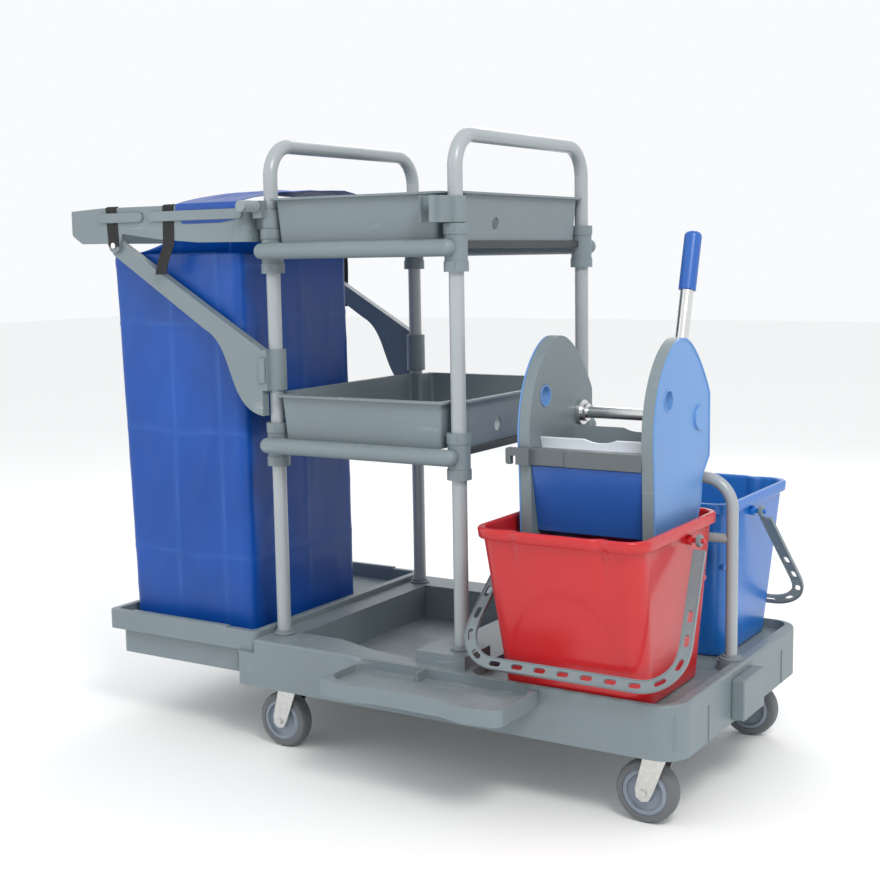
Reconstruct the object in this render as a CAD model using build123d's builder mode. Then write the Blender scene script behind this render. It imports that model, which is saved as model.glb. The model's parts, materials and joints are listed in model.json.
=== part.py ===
from build123d import *
import os
from math import cos, radians, sin

# Housekeeping cart, millimetres. X runs along the cart from the push handle towards
# the bucket end, Y runs from the front to the back and Z is up, with the floor at zero.
# While the parts are built the front left post stands at X = 0, Y = 0. publish() then
# moves everything so that the origin is under the middle of the whole cart.

# Posts and handles
tube_dia = 25.0
tube_wall = 1.5
post_pitch_x = 375.0
post_pitch_y = 455.0
handle_z = 1070.0
handle_bend = 55.0
fit_gap = 0.1
soft_gap = 0.3

# Deck
deck_bottom = 115.0
deck_height = 87.0
deck_wall = 4.0
deck_corner = 45.0
deck_corner_left = 12.0
deck_over_front = 59.0
deck_over_left = 66.0
deck_right = 786.0
socket_depth = 55.0
socket_boss_dia = 44.0
flange_dia = 38.0
flange_height = 9.0

# Storage well between the posts, and the bucket recess
well_depth = 65.0
well_left = 25.0
well_right = 292.0
well_margin_y = 18.0
well_dip = 40.0
saddle_height = 22.0
saddle_left = 310.0
saddle_right = 405.0
recess_depth = 17.0
recess_left = 412.0
recess_right = 768.0
recess_margin = 6.0
recess_corner = 34.0

# Bag tray at the handle end
bag_tray_left = -388.0
bag_tray_lip_top = 213.0
bag_tray_lip_height = 36.0
bag_tray_inset = 7.0
bag_tray_skirt_inset = 21.0
bag_tray_skirt_bottom = 130.0
bag_tray_lap = 42.0
bag_tray_floor = 188.0
bag_tray_corner = 14.0

# Mop rest on the front edge
rest_left = 212.0
rest_right = 550.0
rest_reach = 128.0
rest_top = 197.0
rest_lip = 27.0
rest_corner = 42.0
rest_wall = 3.5
rest_floor_drop = 12.0

# End bumper
bumper_y = (160.0, 258.0)
bumper_z = (121.0, 188.0)
bumper_thick = 22.0

# Shelf rails and trays
rail_dia = 28.0
rail_offset = 30.0
rail_z = (549.0, 888.0)
sleeve_dia = 38.0
sleeve_height = 77.0
collar_height = 17.0
side_rail_width = 13.0
side_rail_height = 12.0
tray_lift = 11.0
tray_height = 79.0
tray_wall = 3.0
tray_out_x = 3.0
tray_out_y = 18.0
tray_notch = 23.0
tray_draft = 5.0
tray_lip = 8.0
tray_lip_thick = 4.0
tray_hole_dia = 22.0

# Mop handle clip on the front right post
clip_z = (928.0, 970.0)
clip_bore = 24.0
clip_wall = 5.0
clip_mouth = 17.0
clip_sleeve_dia = 34.0
clip_offset = 22.0

# Bag frame
frame_left = -461.0
frame_right = -30.0
frame_over_y = 36.0
frame_top = 973.0
frame_bottom = 905.0
frame_wall = 8.0
frame_corner = 18.0
frame_mouth_corner = 10.0
frame_mouth_left = -377.0
frame_grip_width = 20.0
lug_x = -344.0
lug_z = 904.0
lug_radius = 14.0
band_height = 18.0
band_thick = 5.0
band_z = 954.0
band_spans = ((-378.0, -268.0), (-252.0, -34.0))
clamp_z = (927.0, 959.0)
clamp_dia = 36.0
knob_dia = 20.0
knob_length = 46.0
knob_z = 965.0
knob_stem_dia = 8.0

# Struts
strut_width = 18.0
strut_depth = 27.0
strut_z = (645.0, 717.0)
strut_toe_z = 600.0
strut_web_x = -112.0
strut_sleeve_dia = 37.0
strut_land = 27.7
screw_dia = 6.0

# Bag, cover and straps
bag_left = -361.0
bag_right = -70.0
bag_flare = 25.0
bag_front = -6.0
bag_depth = 334.0
bag_bottom = 188.4
bag_top = 888.0
bag_wall = 2.0
bag_corner = 30.0
cover_left = -188.0
cover_thick = 2.0
strap_width = 26.0
strap_thick = 1.6
strap_x = (-362.0, -219.0)

# Castors
wheel_dia = 100.0
tyre_width = 30.0
hub_dia = 74.0
hub_width = 34.0
castor_trail = 25.0
castor_x = (35.0, 742.0)
castor_y = (-15.0, 447.0)
castor_top = 133.0
fork_thick = 2.5
fork_gap = 1.5
axle_dia = 8.0
plate_size = 64.0
plate_corner = 16.0
plate_bolt = 22.0
plate_thick = 3.0
fork_crown_dia = 44.0

# Buckets
bucket_x = 603.0
bucket_width = 292.0
bucket_length = 326.0
bucket_back_gap = 14.5
bucket_height = 272.0
bucket_lip = 8.0
bucket_lip_height = 18.0
bucket_wall = 3.0
bucket_corner = 38.0
bucket_side_draft = 14.0
bucket_front_draft = 57.0
bucket_back_draft = 29.0
bail_forward = 129.0
bail_drop = 29.0
bail_reach = 264.0
bail_band = 20.0
bail_thick = 7.0
bail_half_top = 160.0
bail_half_bottom = 182.0
bail_corner = 65.0
bail_tilt = 50.0
bail_slot = (20.0, 9.0)
bail_slot_pitch = 40.0
bail_pin_dia = 8.0

# Divider between the buckets
divider_dia = 20.0
divider_x = (430.0, 760.0)
divider_top = 505.0
divider_bend = 50.0
divider_rung_z = 405.0

# Wringer
wringer_left = 482.0
wringer_right = 718.0
wringer_case = 19.0
wringer_case_wall = 4.0
wringer_cover = 3.0
wringer_back = 233.0
wringer_neck = 201.0
wringer_foot = 160.0
wringer_bottom = 350.0
wringer_top = 742.0
wringer_hole = (60.0, 648.0)
wringer_hole_dia = 30.0
shaft_y = 185.0
shaft_z = 609.0
shaft_dia = 20.0
boss_dia = 41.0
bar_front = 4.0
bar_thick = 20.0
bar_z = (542.0, 569.0)
panel_z = (432.0, 541.0)
panel_slope = 22.0
panel_thick = 4.0
jaw_thick = 6.0
liner_top = (38.0, 584.0)
liner_bottom = (88.0, 432.0)
press_pivot = (118.0, 425.0)
press_top = (160.0, 589.0)
jaw_side_gap = 3.0
pivot_dia = 8.0
lever_x = 672.0
lever_tilt = 16.0
lever_length = 311.0
lever_rod_dia = 22.0
lever_grip_dia = 29.0
lever_grip_length = 100.0

# Worked out from the sizes above
deck_top = deck_bottom + deck_height
deck_left = -deck_over_left
deck_front = -deck_over_front
deck_back = post_pitch_y + deck_over_front
middle_y = post_pitch_y / 2
recess_floor = deck_top - recess_depth
posts = [(x, y) for x in (0.0, post_pitch_x) for y in (0.0, post_pitch_y)]
tube_radius = tube_dia / 2
bucket_floor = recess_floor + soft_gap
bucket_rim = bucket_floor + bucket_height
bucket_back = middle_y - bucket_back_gap
bucket_front = bucket_back - bucket_length
bail_y = bucket_back - bail_forward
bail_z = bucket_rim - bail_drop
wheel_radius = wheel_dia / 2

finished = []


def keep(builder, name):
    """Label a finished sub-part and put it in the list for publish()."""
    builder.part.label = name
    finished.append((name, builder.part))


def block(x, y, z, mode=Mode.ADD):
    """A box between two X, two Y and two Z values."""
    with Locations(((x[0] + x[1]) / 2, (y[0] + y[1]) / 2, (z[0] + z[1]) / 2)):
        Box(x[1] - x[0], y[1] - y[0], z[1] - z[0], mode=mode)


def upright(x, y, z, dia, mode=Mode.ADD):
    """A vertical cylinder between two heights."""
    with Locations((x, y, (z[0] + z[1]) / 2)):
        Cylinder(dia / 2, z[1] - z[0], mode=mode)


def rod_x(x, y, z, dia, mode=Mode.ADD):
    """A cylinder along X between two X values."""
    with Locations(((x[0] + x[1]) / 2, y, z)):
        Cylinder(dia / 2, x[1] - x[0], rotation=(0, 90, 0), mode=mode)


def rod_y(x, y, z, dia, mode=Mode.ADD):
    """A cylinder along Y between two Y values."""
    with Locations((x, (y[0] + y[1]) / 2, z)):
        Cylinder(dia / 2, y[1] - y[0], rotation=(90, 0, 0), mode=mode)


def well_outline():
    """Corner points of the storage well; its front edge swings forward to the mop rest."""
    y0 = well_margin_y
    y1 = post_pitch_y - well_margin_y
    third = (well_right - well_left) / 3
    return [
        (well_left, y0),
        (well_left + third, y0),
        (well_left + 2 * third, y0 - 0.75 * well_dip),
        (well_right, y0 - well_dip),
        (well_right, y1),
        (well_left, y1),
    ]


def deck_plan(inset):
    """Rounded outline of the deck inside the open sketch, moved in by inset."""
    with Locations(((deck_left + deck_right) / 2, middle_y)):
        Rectangle(deck_right - deck_left - 2 * inset, deck_back - deck_front - 2 * inset)
    fillet(vertices().group_by(Axis.X)[-1], radius=deck_corner - inset)
    fillet(vertices().group_by(Axis.X)[0], radius=deck_corner_left - inset)


def recess_plan(grow):
    """Rounded outline of the bucket recess inside the open sketch, moved out by grow."""
    with Locations(((recess_left + recess_right) / 2, middle_y)):
        RectangleRounded(recess_right - recess_left + 2 * grow,
                         deck_back - deck_front - 2 * recess_margin + 2 * grow, recess_corner + grow)


def make_base_deck():
    """Moulded deck: a skirted shell with a well, a bucket recess and post sockets."""
    inner = deck_wall
    lap_x = deck_left + bag_tray_lap
    lap_z = bag_tray_lip_top - bag_tray_lip_height
    with BuildPart() as deck:
        with BuildSketch(Plane.XY.offset(deck_bottom)):
            deck_plan(0)
        extrude(amount=deck_height)
        rim = deck.faces().sort_by(Axis.Z)[-1]
        fillet(rim.edges(), radius=5)
        with BuildSketch(Plane.XY.offset(deck_bottom)):
            deck_plan(inner)
        extrude(amount=deck_height - inner, mode=Mode.SUBTRACT)
        # the bag tray's lip laps over the lowered left end
        block((deck_left - 1, lap_x), (deck_front - 1, deck_back + 1), (lap_z, deck_top + 1),
              Mode.SUBTRACT)
        block((deck_left + 2, lap_x + inner), (deck_front + 2, deck_back - 2),
              (lap_z - inner, lap_z))
        block((lap_x, lap_x + inner), (deck_front + 5, deck_back - 5), (lap_z - inner, deck_top - 5))
        # walls of the well and of the bucket recess
        with BuildSketch(Plane.XY.offset(deck_top - well_depth - inner)):
            with BuildLine():
                Polyline(*well_outline(), close=True)
            make_face()
            offset(amount=inner)
        extrude(amount=well_depth + inner)
        with BuildSketch(Plane.XY.offset(recess_floor - inner)):
            recess_plan(inner)
        extrude(amount=recess_depth + inner - 1)
        # raised saddles under the right posts, and solid sockets for all four
        for y in (0.0, post_pitch_y):
            block((saddle_left, saddle_right), (y - 42, y + 42), (deck_top - 4, deck_top + saddle_height))
        for x, y in posts:
            top = deck_top + (saddle_height if x > 0 else 0)
            upright(x, y, (deck_top - socket_depth - 6, top), socket_boss_dia)
        # pads that carry the castor plates
        half = plate_size / 2 + 1
        for x in castor_x:
            for y in castor_y:
                block((x - half, x + half), (y - half, y + half),
                      (castor_top, deck_top - recess_depth - 2))
        with BuildSketch(Plane.XY.offset(deck_top - well_depth)):
            with BuildLine():
                Polyline(*well_outline(), close=True)
            make_face()
        extrude(amount=well_depth + 1, mode=Mode.SUBTRACT)
        with BuildSketch(Plane.XY.offset(recess_floor)):
            recess_plan(0)
        extrude(amount=recess_depth + 1, mode=Mode.SUBTRACT)
        # pads for the divider feet stand up from the recess
        for x in divider_x:
            upright(x, middle_y, (recess_floor - 30, deck_top), 46)
            upright(x, middle_y, (recess_floor - 25, deck_top + 1), divider_dia + fit_gap, Mode.SUBTRACT)
        for x, y in posts:
            top = deck_top + (saddle_height if x > 0 else 0)
            upright(x, y, (deck_top - socket_depth, top + 1), tube_dia + fit_gap, Mode.SUBTRACT)
        # shallow ribs on the right end wall
        for y in (61.0, 410.0):
            block((deck_right - 1, deck_right + 1.5), (y - 2, y + 2), (deck_bottom + 1, deck_top - 28))
    keep(deck, "base_deck")


def make_bag_tray():
    """Shallow tray under the bag, hooked over the left end of the deck."""
    y0 = deck_front + bag_tray_inset
    y1 = deck_back - bag_tray_inset
    right = deck_left + bag_tray_lap - 0.5
    lip_z = bag_tray_lip_top - bag_tray_lip_height
    skirt_right = deck_left - 4
    skirt_left = bag_tray_left + bag_tray_skirt_inset
    s = bag_tray_skirt_inset - bag_tray_inset
    t = 3.0
    mid_y = (y0 + y1) / 2
    with BuildPart() as tray:
        with BuildSketch(Plane.XY.offset(lip_z)):
            with Locations(((bag_tray_left + right) / 2, mid_y)):
                RectangleRounded(right - bag_tray_left, y1 - y0, bag_tray_corner)
        extrude(amount=bag_tray_lip_height)
        with BuildSketch(Plane.XY.offset(bag_tray_skirt_bottom)):
            with Locations(((skirt_left + skirt_right) / 2, mid_y)):
                RectangleRounded(skirt_right - skirt_left, y1 - y0 - 2 * s, bag_tray_corner)
        extrude(amount=lip_z - bag_tray_skirt_bottom)
        fillet(tray.faces().sort_by(Axis.Z)[-1].edges(), radius=2.5)
        with BuildSketch(Plane.XY.offset(bag_tray_floor)):
            with Locations(((bag_tray_left + right) / 2, mid_y)):
                RectangleRounded(right - bag_tray_left - 2 * s, y1 - y0 - 2 * s, bag_tray_corner - 6)
        extrude(amount=40, mode=Mode.SUBTRACT)
        # hollow underside of the skirt and of the lip
        with BuildSketch(Plane.XY.offset(bag_tray_skirt_bottom)):
            with Locations(((skirt_left + skirt_right) / 2, mid_y)):
                RectangleRounded(skirt_right - skirt_left - 2 * t, y1 - y0 - 2 * s - 2 * t,
                                 bag_tray_corner - t)
        extrude(amount=bag_tray_floor - t - bag_tray_skirt_bottom, mode=Mode.SUBTRACT)
        # raised middle of the front and back lips
        for y in (y0 + s / 2, y1 - s / 2):
            block((bag_tray_left + 60, right - 70), (y - s / 2 + 2, y + s / 2 - 2),
                  (bag_tray_lip_top - 1, bag_tray_lip_top + 3))
    keep(tray, "bag_tray")


def make_mop_rest():
    """Moulded shelf hooked on the deck's front wall, where a wet mop head rests."""
    y0 = deck_front - rest_reach
    y1 = deck_front - fit_gap
    mid_x = (rest_left + rest_right) / 2
    low = rest_top - rest_lip
    w = rest_wall
    with BuildPart() as rest:
        with BuildSketch(Plane.XY.offset(low)):
            with BuildLine():
                Polyline((rest_left, y1), (rest_left, y0 + 8), (rest_left + 60, y0 - 2),
                         (rest_left + 110, y0 + 8), (rest_right - 110, y0 + 6),
                         (rest_right - 60, y0 - 6), (rest_right, y0), (rest_right, y1), close=True)
            make_face()
            fillet(vertices().group_by(Axis.Y)[0] + vertices().sort_by(Axis.Y)[1:4], radius=20)
        extrude(amount=rest_lip)
        with BuildSketch(Plane.XY.offset(rest_top - rest_floor_drop)):
            with Locations((mid_x, (y0 + y1) / 2 + 8)):
                RectangleRounded(rest_right - rest_left - 2 * w, rest_reach - 20, rest_corner - 6)
        extrude(amount=rest_floor_drop + 1, mode=Mode.SUBTRACT)
        with BuildSketch(Plane.XY.offset(low)):
            with Locations((mid_x, (y0 + y1) / 2 + 6)):
                RectangleRounded(rest_right - rest_left - 2 * w - 4, rest_reach - 24, rest_corner - 8)
        extrude(amount=rest_lip - rest_floor_drop - w, mode=Mode.SUBTRACT)
        # back wall, standing against the deck
        block((rest_left, rest_right), (y1 - w, y1), (low, deck_top))
        # stiffening fin in the middle of the back wall
        block((340, 344), (y1 - 30, y1 - w), (rest_top - rest_floor_drop - 1, deck_top))
    keep(rest, "mop_rest")


def make_end_bumper():
    """Solid bumper block on the right end wall."""
    y0, y1 = bumper_y
    z0, z1 = bumper_z
    with BuildPart() as bumper:
        block((deck_right, deck_right + bumper_thick), (y0, y1), (z0, z1))
        fillet(bumper.faces().sort_by(Axis.X)[-1].edges(), radius=3)
    keep(bumper, "end_bumper")


def make_handle_tube(x, foot_z, name):
    """Inverted U of round tube: two posts and the handle across their tops."""
    y1 = post_pitch_y
    with BuildPart() as tube:
        with BuildLine() as path:
            FilletPolyline((x, 0, foot_z), (x, 0, handle_z), (x, y1, handle_z), (x, y1, foot_z),
                           radius=handle_bend)
        with BuildSketch(Plane(origin=(x, 0, foot_z), z_dir=(0, 0, 1))):
            Circle(tube_radius)
            Circle(tube_radius - tube_wall, mode=Mode.SUBTRACT)
        sweep(path=path.line)
    keep(tube, name)


def make_foot_flanges():
    """Rings that cover the mouths of the post sockets."""
    with BuildPart() as flanges:
        for x, y in posts:
            base = deck_top + (saddle_height if x > 0 else 0)
            upright(x, y, (base, base + flange_height * 0.45), flange_dia)
            upright(x, y, (base, base + flange_height), flange_dia - 7)
            upright(x, y, (base - 1, base + flange_height + 1), tube_dia + fit_gap, Mode.SUBTRACT)
    keep(flanges, "foot_flanges")


def make_shelf_rail(level, back, name):
    """Round rail with a sleeve at each end; the sleeves slide onto two posts."""
    z = rail_z[level]
    side = 1 if back else -1
    post_y = post_pitch_y if back else 0.0
    y = post_y + side * rail_offset
    z0 = z - sleeve_height / 2
    z1 = z + sleeve_height / 2
    with BuildPart() as rail:
        rod_x((0, post_pitch_x), y, z, rail_dia)
        for x in (0.0, post_pitch_x):
            with Locations((x, y, z)):
                Sphere(rail_dia / 2)
            upright(x, post_y, (z0, z1), sleeve_dia)
            upright(x, post_y, (z0, z0 + collar_height), sleeve_dia + 3)
            upright(x, post_y, (z1 - collar_height, z1), sleeve_dia + 3)
        for x in (0.0, post_pitch_x):
            upright(x, post_y, (z0 - 1, z1 + 1), tube_dia + fit_gap, Mode.SUBTRACT)
            # the slot beside each snap collar
            for zc in (z0 + collar_height / 2, z1 - collar_height / 2):
                slot_y = sorted((post_y + side * (sleeve_dia / 2 - 1), post_y + side * 25))
                block((x + 8, x + 10), slot_y, (zc - 5, zc + 5), Mode.SUBTRACT)
    keep(rail, name)


def make_side_rails():
    """Dark bars that join the sleeves front to back and carry the trays."""
    y0 = sleeve_dia / 2 + fit_gap
    y1 = post_pitch_y - y0
    with BuildPart() as rails:
        for z in rail_z:
            top = z + tray_lift
            block((-side_rail_width / 2 + 3, side_rail_width / 2 + 3), (y0, y1),
                  (top - side_rail_height, top))
            block((post_pitch_x - side_rail_width / 2 - 3, post_pitch_x + side_rail_width / 2 - 3),
                  (y0, y1), (top - side_rail_height, top))
    keep(rails, "side_rails")


def tray_outline(grow):
    """Plus-shaped plan of a tray, set back around the posts; grow moves it outwards."""
    x0 = -tray_out_x - grow
    x1 = post_pitch_x + tray_out_x + grow
    y0 = -tray_out_y - grow
    y1 = post_pitch_y + tray_out_y + grow
    n = tray_notch - grow
    m = post_pitch_x - n
    k = post_pitch_y - n
    return [(n, y0), (m, y0), (m, n), (x1, n), (x1, k), (m, k), (m, y1), (n, y1),
            (n, k), (x0, k), (x0, n), (n, n)]


def make_tray(level, name):
    """Moulded shelf tray with drafted walls and a turned-out rim."""
    z0 = rail_z[level] + tray_lift
    z1 = z0 + tray_height
    with BuildPart() as tray:
        for z, grow in ((z0, -tray_draft), (z1, 0.0)):
            with BuildSketch(Plane.XY.offset(z)):
                with BuildLine():
                    Polyline(*tray_outline(grow), close=True)
                make_face()
                fillet(vertices(), radius=7)
        loft(ruled=True)
        with BuildSketch(Plane.XY.offset(z1 - tray_lip_thick)):
            with BuildLine():
                Polyline(*tray_outline(tray_lip), close=True)
            make_face()
            fillet(vertices(), radius=6)
        extrude(amount=tray_lip_thick)
        with BuildPart(mode=Mode.PRIVATE) as hollow:
            for z, grow in ((z0 + tray_wall, -tray_draft - tray_wall), (z1 + 0.5, -tray_wall)):
                with BuildSketch(Plane.XY.offset(z)):
                    with BuildLine():
                        Polyline(*tray_outline(grow), close=True)
                    make_face()
                    fillet(vertices(), radius=7)
            loft(ruled=True)
        add(hollow.part, mode=Mode.SUBTRACT)
        # drain hole in the right wall
        rod_x((post_pitch_x - 12, post_pitch_x + 12), 130, z0 + 28, tray_hole_dia, Mode.SUBTRACT)
    keep(tray, name)


def make_mop_clip():
    """Spring clip for a mop handle, on a sleeve around the front right post."""
    z0, z1 = clip_z
    x = post_pitch_x
    cx = x - clip_offset
    outer = clip_bore / 2 + clip_wall
    cy = -(tray_out_y + tray_lip + outer + 1)
    with BuildPart() as clip:
        upright(x, 0, (z0, z1), clip_sleeve_dia)
        upright(cx, cy, (z0, z1), 2 * outer)
        block((cx + clip_bore / 2 + 1, x + clip_wall), (cy - 4, 0), (z0, z1))
        upright(cx, cy, (z0 - 1, z1 + 1), clip_bore, Mode.SUBTRACT)
        block((cx - clip_mouth / 2, cx + clip_mouth / 2), (cy - outer - 1, cy), (z0 - 1, z1 + 1),
              Mode.SUBTRACT)
        upright(x, 0, (z0 - 1, z1 + 1), tube_dia + fit_gap, Mode.SUBTRACT)
    keep(clip, "mop_handle_clip")


def make_bag_frame():
    """Rigid ring that holds the bag open, with a push handle at its free end."""
    y0 = -frame_over_y
    y1 = post_pitch_y + frame_over_y
    low = lug_z - lug_radius
    width = y1 - y0
    mouth_right = frame_right - frame_wall
    w = frame_wall
    with BuildPart() as ring:
        with BuildSketch(Plane.XY.offset(low)):
            with Locations(((frame_left + frame_right) / 2, middle_y)):
                RectangleRounded(frame_right - frame_left, width, frame_corner)
            with Locations(((frame_mouth_left + mouth_right) / 2, middle_y)):
                RectangleRounded(mouth_right - frame_mouth_left, width - 2 * w, frame_mouth_corner,
                                 mode=Mode.SUBTRACT)
            grip_right = frame_mouth_left - 2 * w
            grip_left = frame_left + frame_grip_width
            with Locations(((grip_left + grip_right) / 2, middle_y)):
                RectangleRounded(grip_right - grip_left, width - 7 * w, 14, mode=Mode.SUBTRACT)
        extrude(amount=frame_top - low)
        # side profile: shallow at the free end, a lug for each strut, deep at the posts
        with BuildSketch(Plane.XZ.offset(-y1 - 5)):
            with BuildLine():
                Polyline((frame_left - 1, frame_top - 26), (frame_left + 8, frame_top - 4),
                         (frame_left + 90, frame_top), (frame_right + 1, frame_top),
                         (frame_right + 1, frame_bottom), (-138, frame_bottom + 1),
                         (-230, frame_bottom + 8), (lug_x + lug_radius + 8, frame_bottom + 20),
                         (lug_x + lug_radius, lug_z), (lug_x + lug_radius * 0.7, low + 4),
                         (lug_x, low), (lug_x - lug_radius * 0.7, low + 4),
                         (lug_x - lug_radius, lug_z), (lug_x - lug_radius - 4, frame_bottom + 3),
                         (frame_left + 36, frame_bottom + 3), (frame_left - 1, frame_bottom + 26),
                         close=True)
            make_face()
        extrude(amount=width + 10, mode=Mode.INTERSECT)
        rod_y(lug_x, (y0 - 1, y0 + w + 1), lug_z, screw_dia + fit_gap, Mode.SUBTRACT)
        rod_y(lug_x, (y1 - w - 1, y1 + 1), lug_z, screw_dia + fit_gap, Mode.SUBTRACT)
    keep(ring, "bag_frame")


def make_bag_bands():
    """Flat bands with round ends that press the bag's hem to the frame."""
    h = band_height
    with BuildPart() as bands:
        for y0 in (-frame_over_y - band_thick, post_pitch_y + frame_over_y):
            for x0, x1 in band_spans:
                with BuildSketch(Plane.XZ.offset(-y0 - band_thick)):
                    with Locations(((x0 + x1) / 2, band_z)):
                        SlotOverall(x1 - x0, h)
                extrude(amount=band_thick)
    keep(bands, "bag_bands")


def make_ring_clamps():
    """Clamps that hold the bag frame's end wall to the two left posts."""
    z0, z1 = clamp_z
    with BuildPart() as clamps:
        for y, side in ((0.0, -1), (post_pitch_y, 1)):
            upright(0, y, (z0, z1), clamp_dia)
            # land against the flat of the frame's end wall
            block((frame_right, -8), sorted((y + side * 4, y - side * 18)), (z0, z1))
            # upward horn that carries the knob's screw
            horn = sorted((y, y + side * 27))
            block((-20, 0), horn, (z1 - 14, z1 + 16))
            upright(0, y, (z0 - 1, z1 + 20), tube_dia + fit_gap, Mode.SUBTRACT)
            rod_y(-10, sorted((y + side * 8, y + side * 28)), knob_z, knob_stem_dia + fit_gap,
                  Mode.SUBTRACT)
    keep(clamps, "ring_clamps")


def make_knob(y, side, name):
    """Ribbed hand knob with its screw."""
    start = y + side * 27.3
    ribs = 6
    pitch = (knob_length - 12) / ribs
    with BuildPart() as knob:
        rod_y(-10, sorted((y + side * 14, start + side * 4)), knob_z, knob_stem_dia)
        rod_y(-10, sorted((start, start + side * knob_length)), knob_z, knob_dia - 4)
        for i in range(ribs):
            a = start + side * (i * pitch + 2)
            rod_y(-10, sorted((a, a + side * pitch * 0.55)), knob_z, knob_dia)
        rod_y(-10, sorted((start + side * (knob_length - 8), start + side * knob_length)), knob_z,
              knob_dia)
        fillet(knob.faces().sort_by(Axis.Y)[0 if side < 0 else -1].edges(), radius=1.5)
    keep(knob, name)


def make_strut(y, side, name):
    """Diagonal arm under the bag frame, with a web and a sleeve around its post."""
    z0, z1 = strut_z
    inner = y + side * (frame_over_y - frame_wall - soft_gap)
    y_low, y_high = sorted((inner, inner - side * strut_width))
    root = -strut_sleeve_dia / 2
    rise = (lug_z - z1 + 14) / (root - lug_x)
    slant = strut_depth / cos(radians(29))
    web_z = lug_z - slant - (strut_web_x - lug_x) * rise
    with BuildPart() as strut:
        with BuildSketch(Plane.XZ.offset(-y_high)):
            with BuildLine():
                Line((lug_x, lug_z + 10), (root + 8, z1))
                Line((root + 8, z1), (root + 8, strut_toe_z))
                Spline((root + 8, strut_toe_z), (root - 46, strut_toe_z + 36),
                       (strut_web_x, web_z + 2), (strut_web_x - 24, web_z + 20))
                Line((strut_web_x - 24, web_z + 20), (lug_x - 9, lug_z - 18))
                ThreePointArc((lug_x - 9, lug_z - 18), (lug_x - 13, lug_z), (lug_x, lug_z + 10))
            make_face()
        extrude(amount=y_high - y_low)
        upright(0, y, (z0, z1), strut_sleeve_dia)
        block((root, 0), sorted((y, y + side * strut_land)), (z0, z1))
        upright(0, y, (z0 - 1, z1 + 1), tube_dia + fit_gap, Mode.SUBTRACT)
        rod_y(lug_x, (y_low - 1, y_high + 1), lug_z, screw_dia + fit_gap, Mode.SUBTRACT)
    keep(strut, name)


def make_strut_latches():
    """Snap flaps on the strut sleeves."""
    z0, z1 = strut_z
    with BuildPart() as latches:
        for y, side in ((0.0, -1), (post_pitch_y, 1)):
            a = y + side * (strut_land + fit_gap)
            block((3 - strut_sleeve_dia / 2, -2), sorted((a, a + side * 4)), (z0 + 14, z1 - 14))
    keep(latches, "strut_latches")


def make_strut_screws():
    """Pivot screws that join the struts to the frame's lugs."""
    with BuildPart() as screws:
        for y, side in ((0.0, -1), (post_pitch_y, 1)):
            outer = y + side * frame_over_y
            inner = outer - side * (frame_wall + strut_width)
            rod_y(lug_x, sorted((outer, inner)), lug_z, screw_dia)
            rod_y(lug_x, sorted((outer, outer + side * 3)), lug_z, screw_dia + 5)
    keep(screws, "strut_screws")


def make_bag():
    """Open refuse bag of coated cloth; its handle side leans out towards the top."""
    mid_y = bag_front + bag_depth / 2
    with BuildPart() as bag:
        for z, flare in ((bag_bottom, 0), (bag_top, bag_flare)):
            with BuildSketch(Plane.XY.offset(z)):
                with Locations(((bag_left - flare + bag_right) / 2, mid_y)):
                    RectangleRounded(bag_right - bag_left + flare, bag_depth, bag_corner)
        loft(ruled=True)
        with BuildPart(mode=Mode.PRIVATE) as hollow:
            for z, flare in ((bag_bottom + bag_wall, 0), (bag_top + bag_wall, bag_flare)):
                with BuildSketch(Plane.XY.offset(z)):
                    with Locations(((bag_left - flare + bag_right) / 2, mid_y)):
                        RectangleRounded(bag_right - bag_left + flare - 2 * bag_wall,
                                         bag_depth - 2 * bag_wall, bag_corner - bag_wall)
            loft(ruled=True)
        add(hollow.part, mode=Mode.SUBTRACT)
    keep(bag, "bag")


def make_bag_cover():
    """Cloth cover over the right half of the bag's mouth, resting on the frame."""
    y0 = -frame_over_y + 2
    y1 = post_pitch_y + frame_over_y - 2
    with BuildPart() as cover:
        block((cover_left, frame_right - 12), (y0, y1),
              (frame_top + soft_gap, frame_top + soft_gap + cover_thick))
    keep(cover, "bag_cover")


def make_bag_straps():
    """Webbing loops that hang the bag from the frame, with a loose tail in front."""
    t = strap_thick
    with BuildPart() as straps:
        for x in strap_x:
            for y, side in ((0.0, -1), (post_pitch_y, 1)):
                outer = y + side * (frame_over_y + soft_gap)
                inner = y + side * (frame_over_y - frame_wall - soft_gap)
                over = sorted((outer + side * t, inner - side * t))
                top = frame_top + soft_gap
                block((x, x + strap_width), over, (top, top + t))
                block((x, x + strap_width), sorted((inner, inner - side * t)),
                      (frame_top - 34, top + t))
    keep(straps, "bag_straps")


def make_castor_plates():
    """Mounting plates bolted up into the deck's castor pads."""
    with BuildPart() as plates:
        for x in castor_x:
            for y in castor_y:
                with BuildSketch(Plane.XY.offset(castor_top - plate_thick)):
                    with Locations((x, y)):
                        RectangleRounded(plate_size, plate_size, plate_corner)
                extrude(amount=plate_thick)
                upright(x, y, (castor_top - plate_thick - 5, castor_top - plate_thick), 46)
                for dx in (-plate_bolt, plate_bolt):
                    for dy in (-plate_bolt, plate_bolt):
                        upright(x + dx, y + dy, (castor_top - plate_thick - 3,
                                castor_top - plate_thick), 9)
    keep(plates, "castor_plates")


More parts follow.
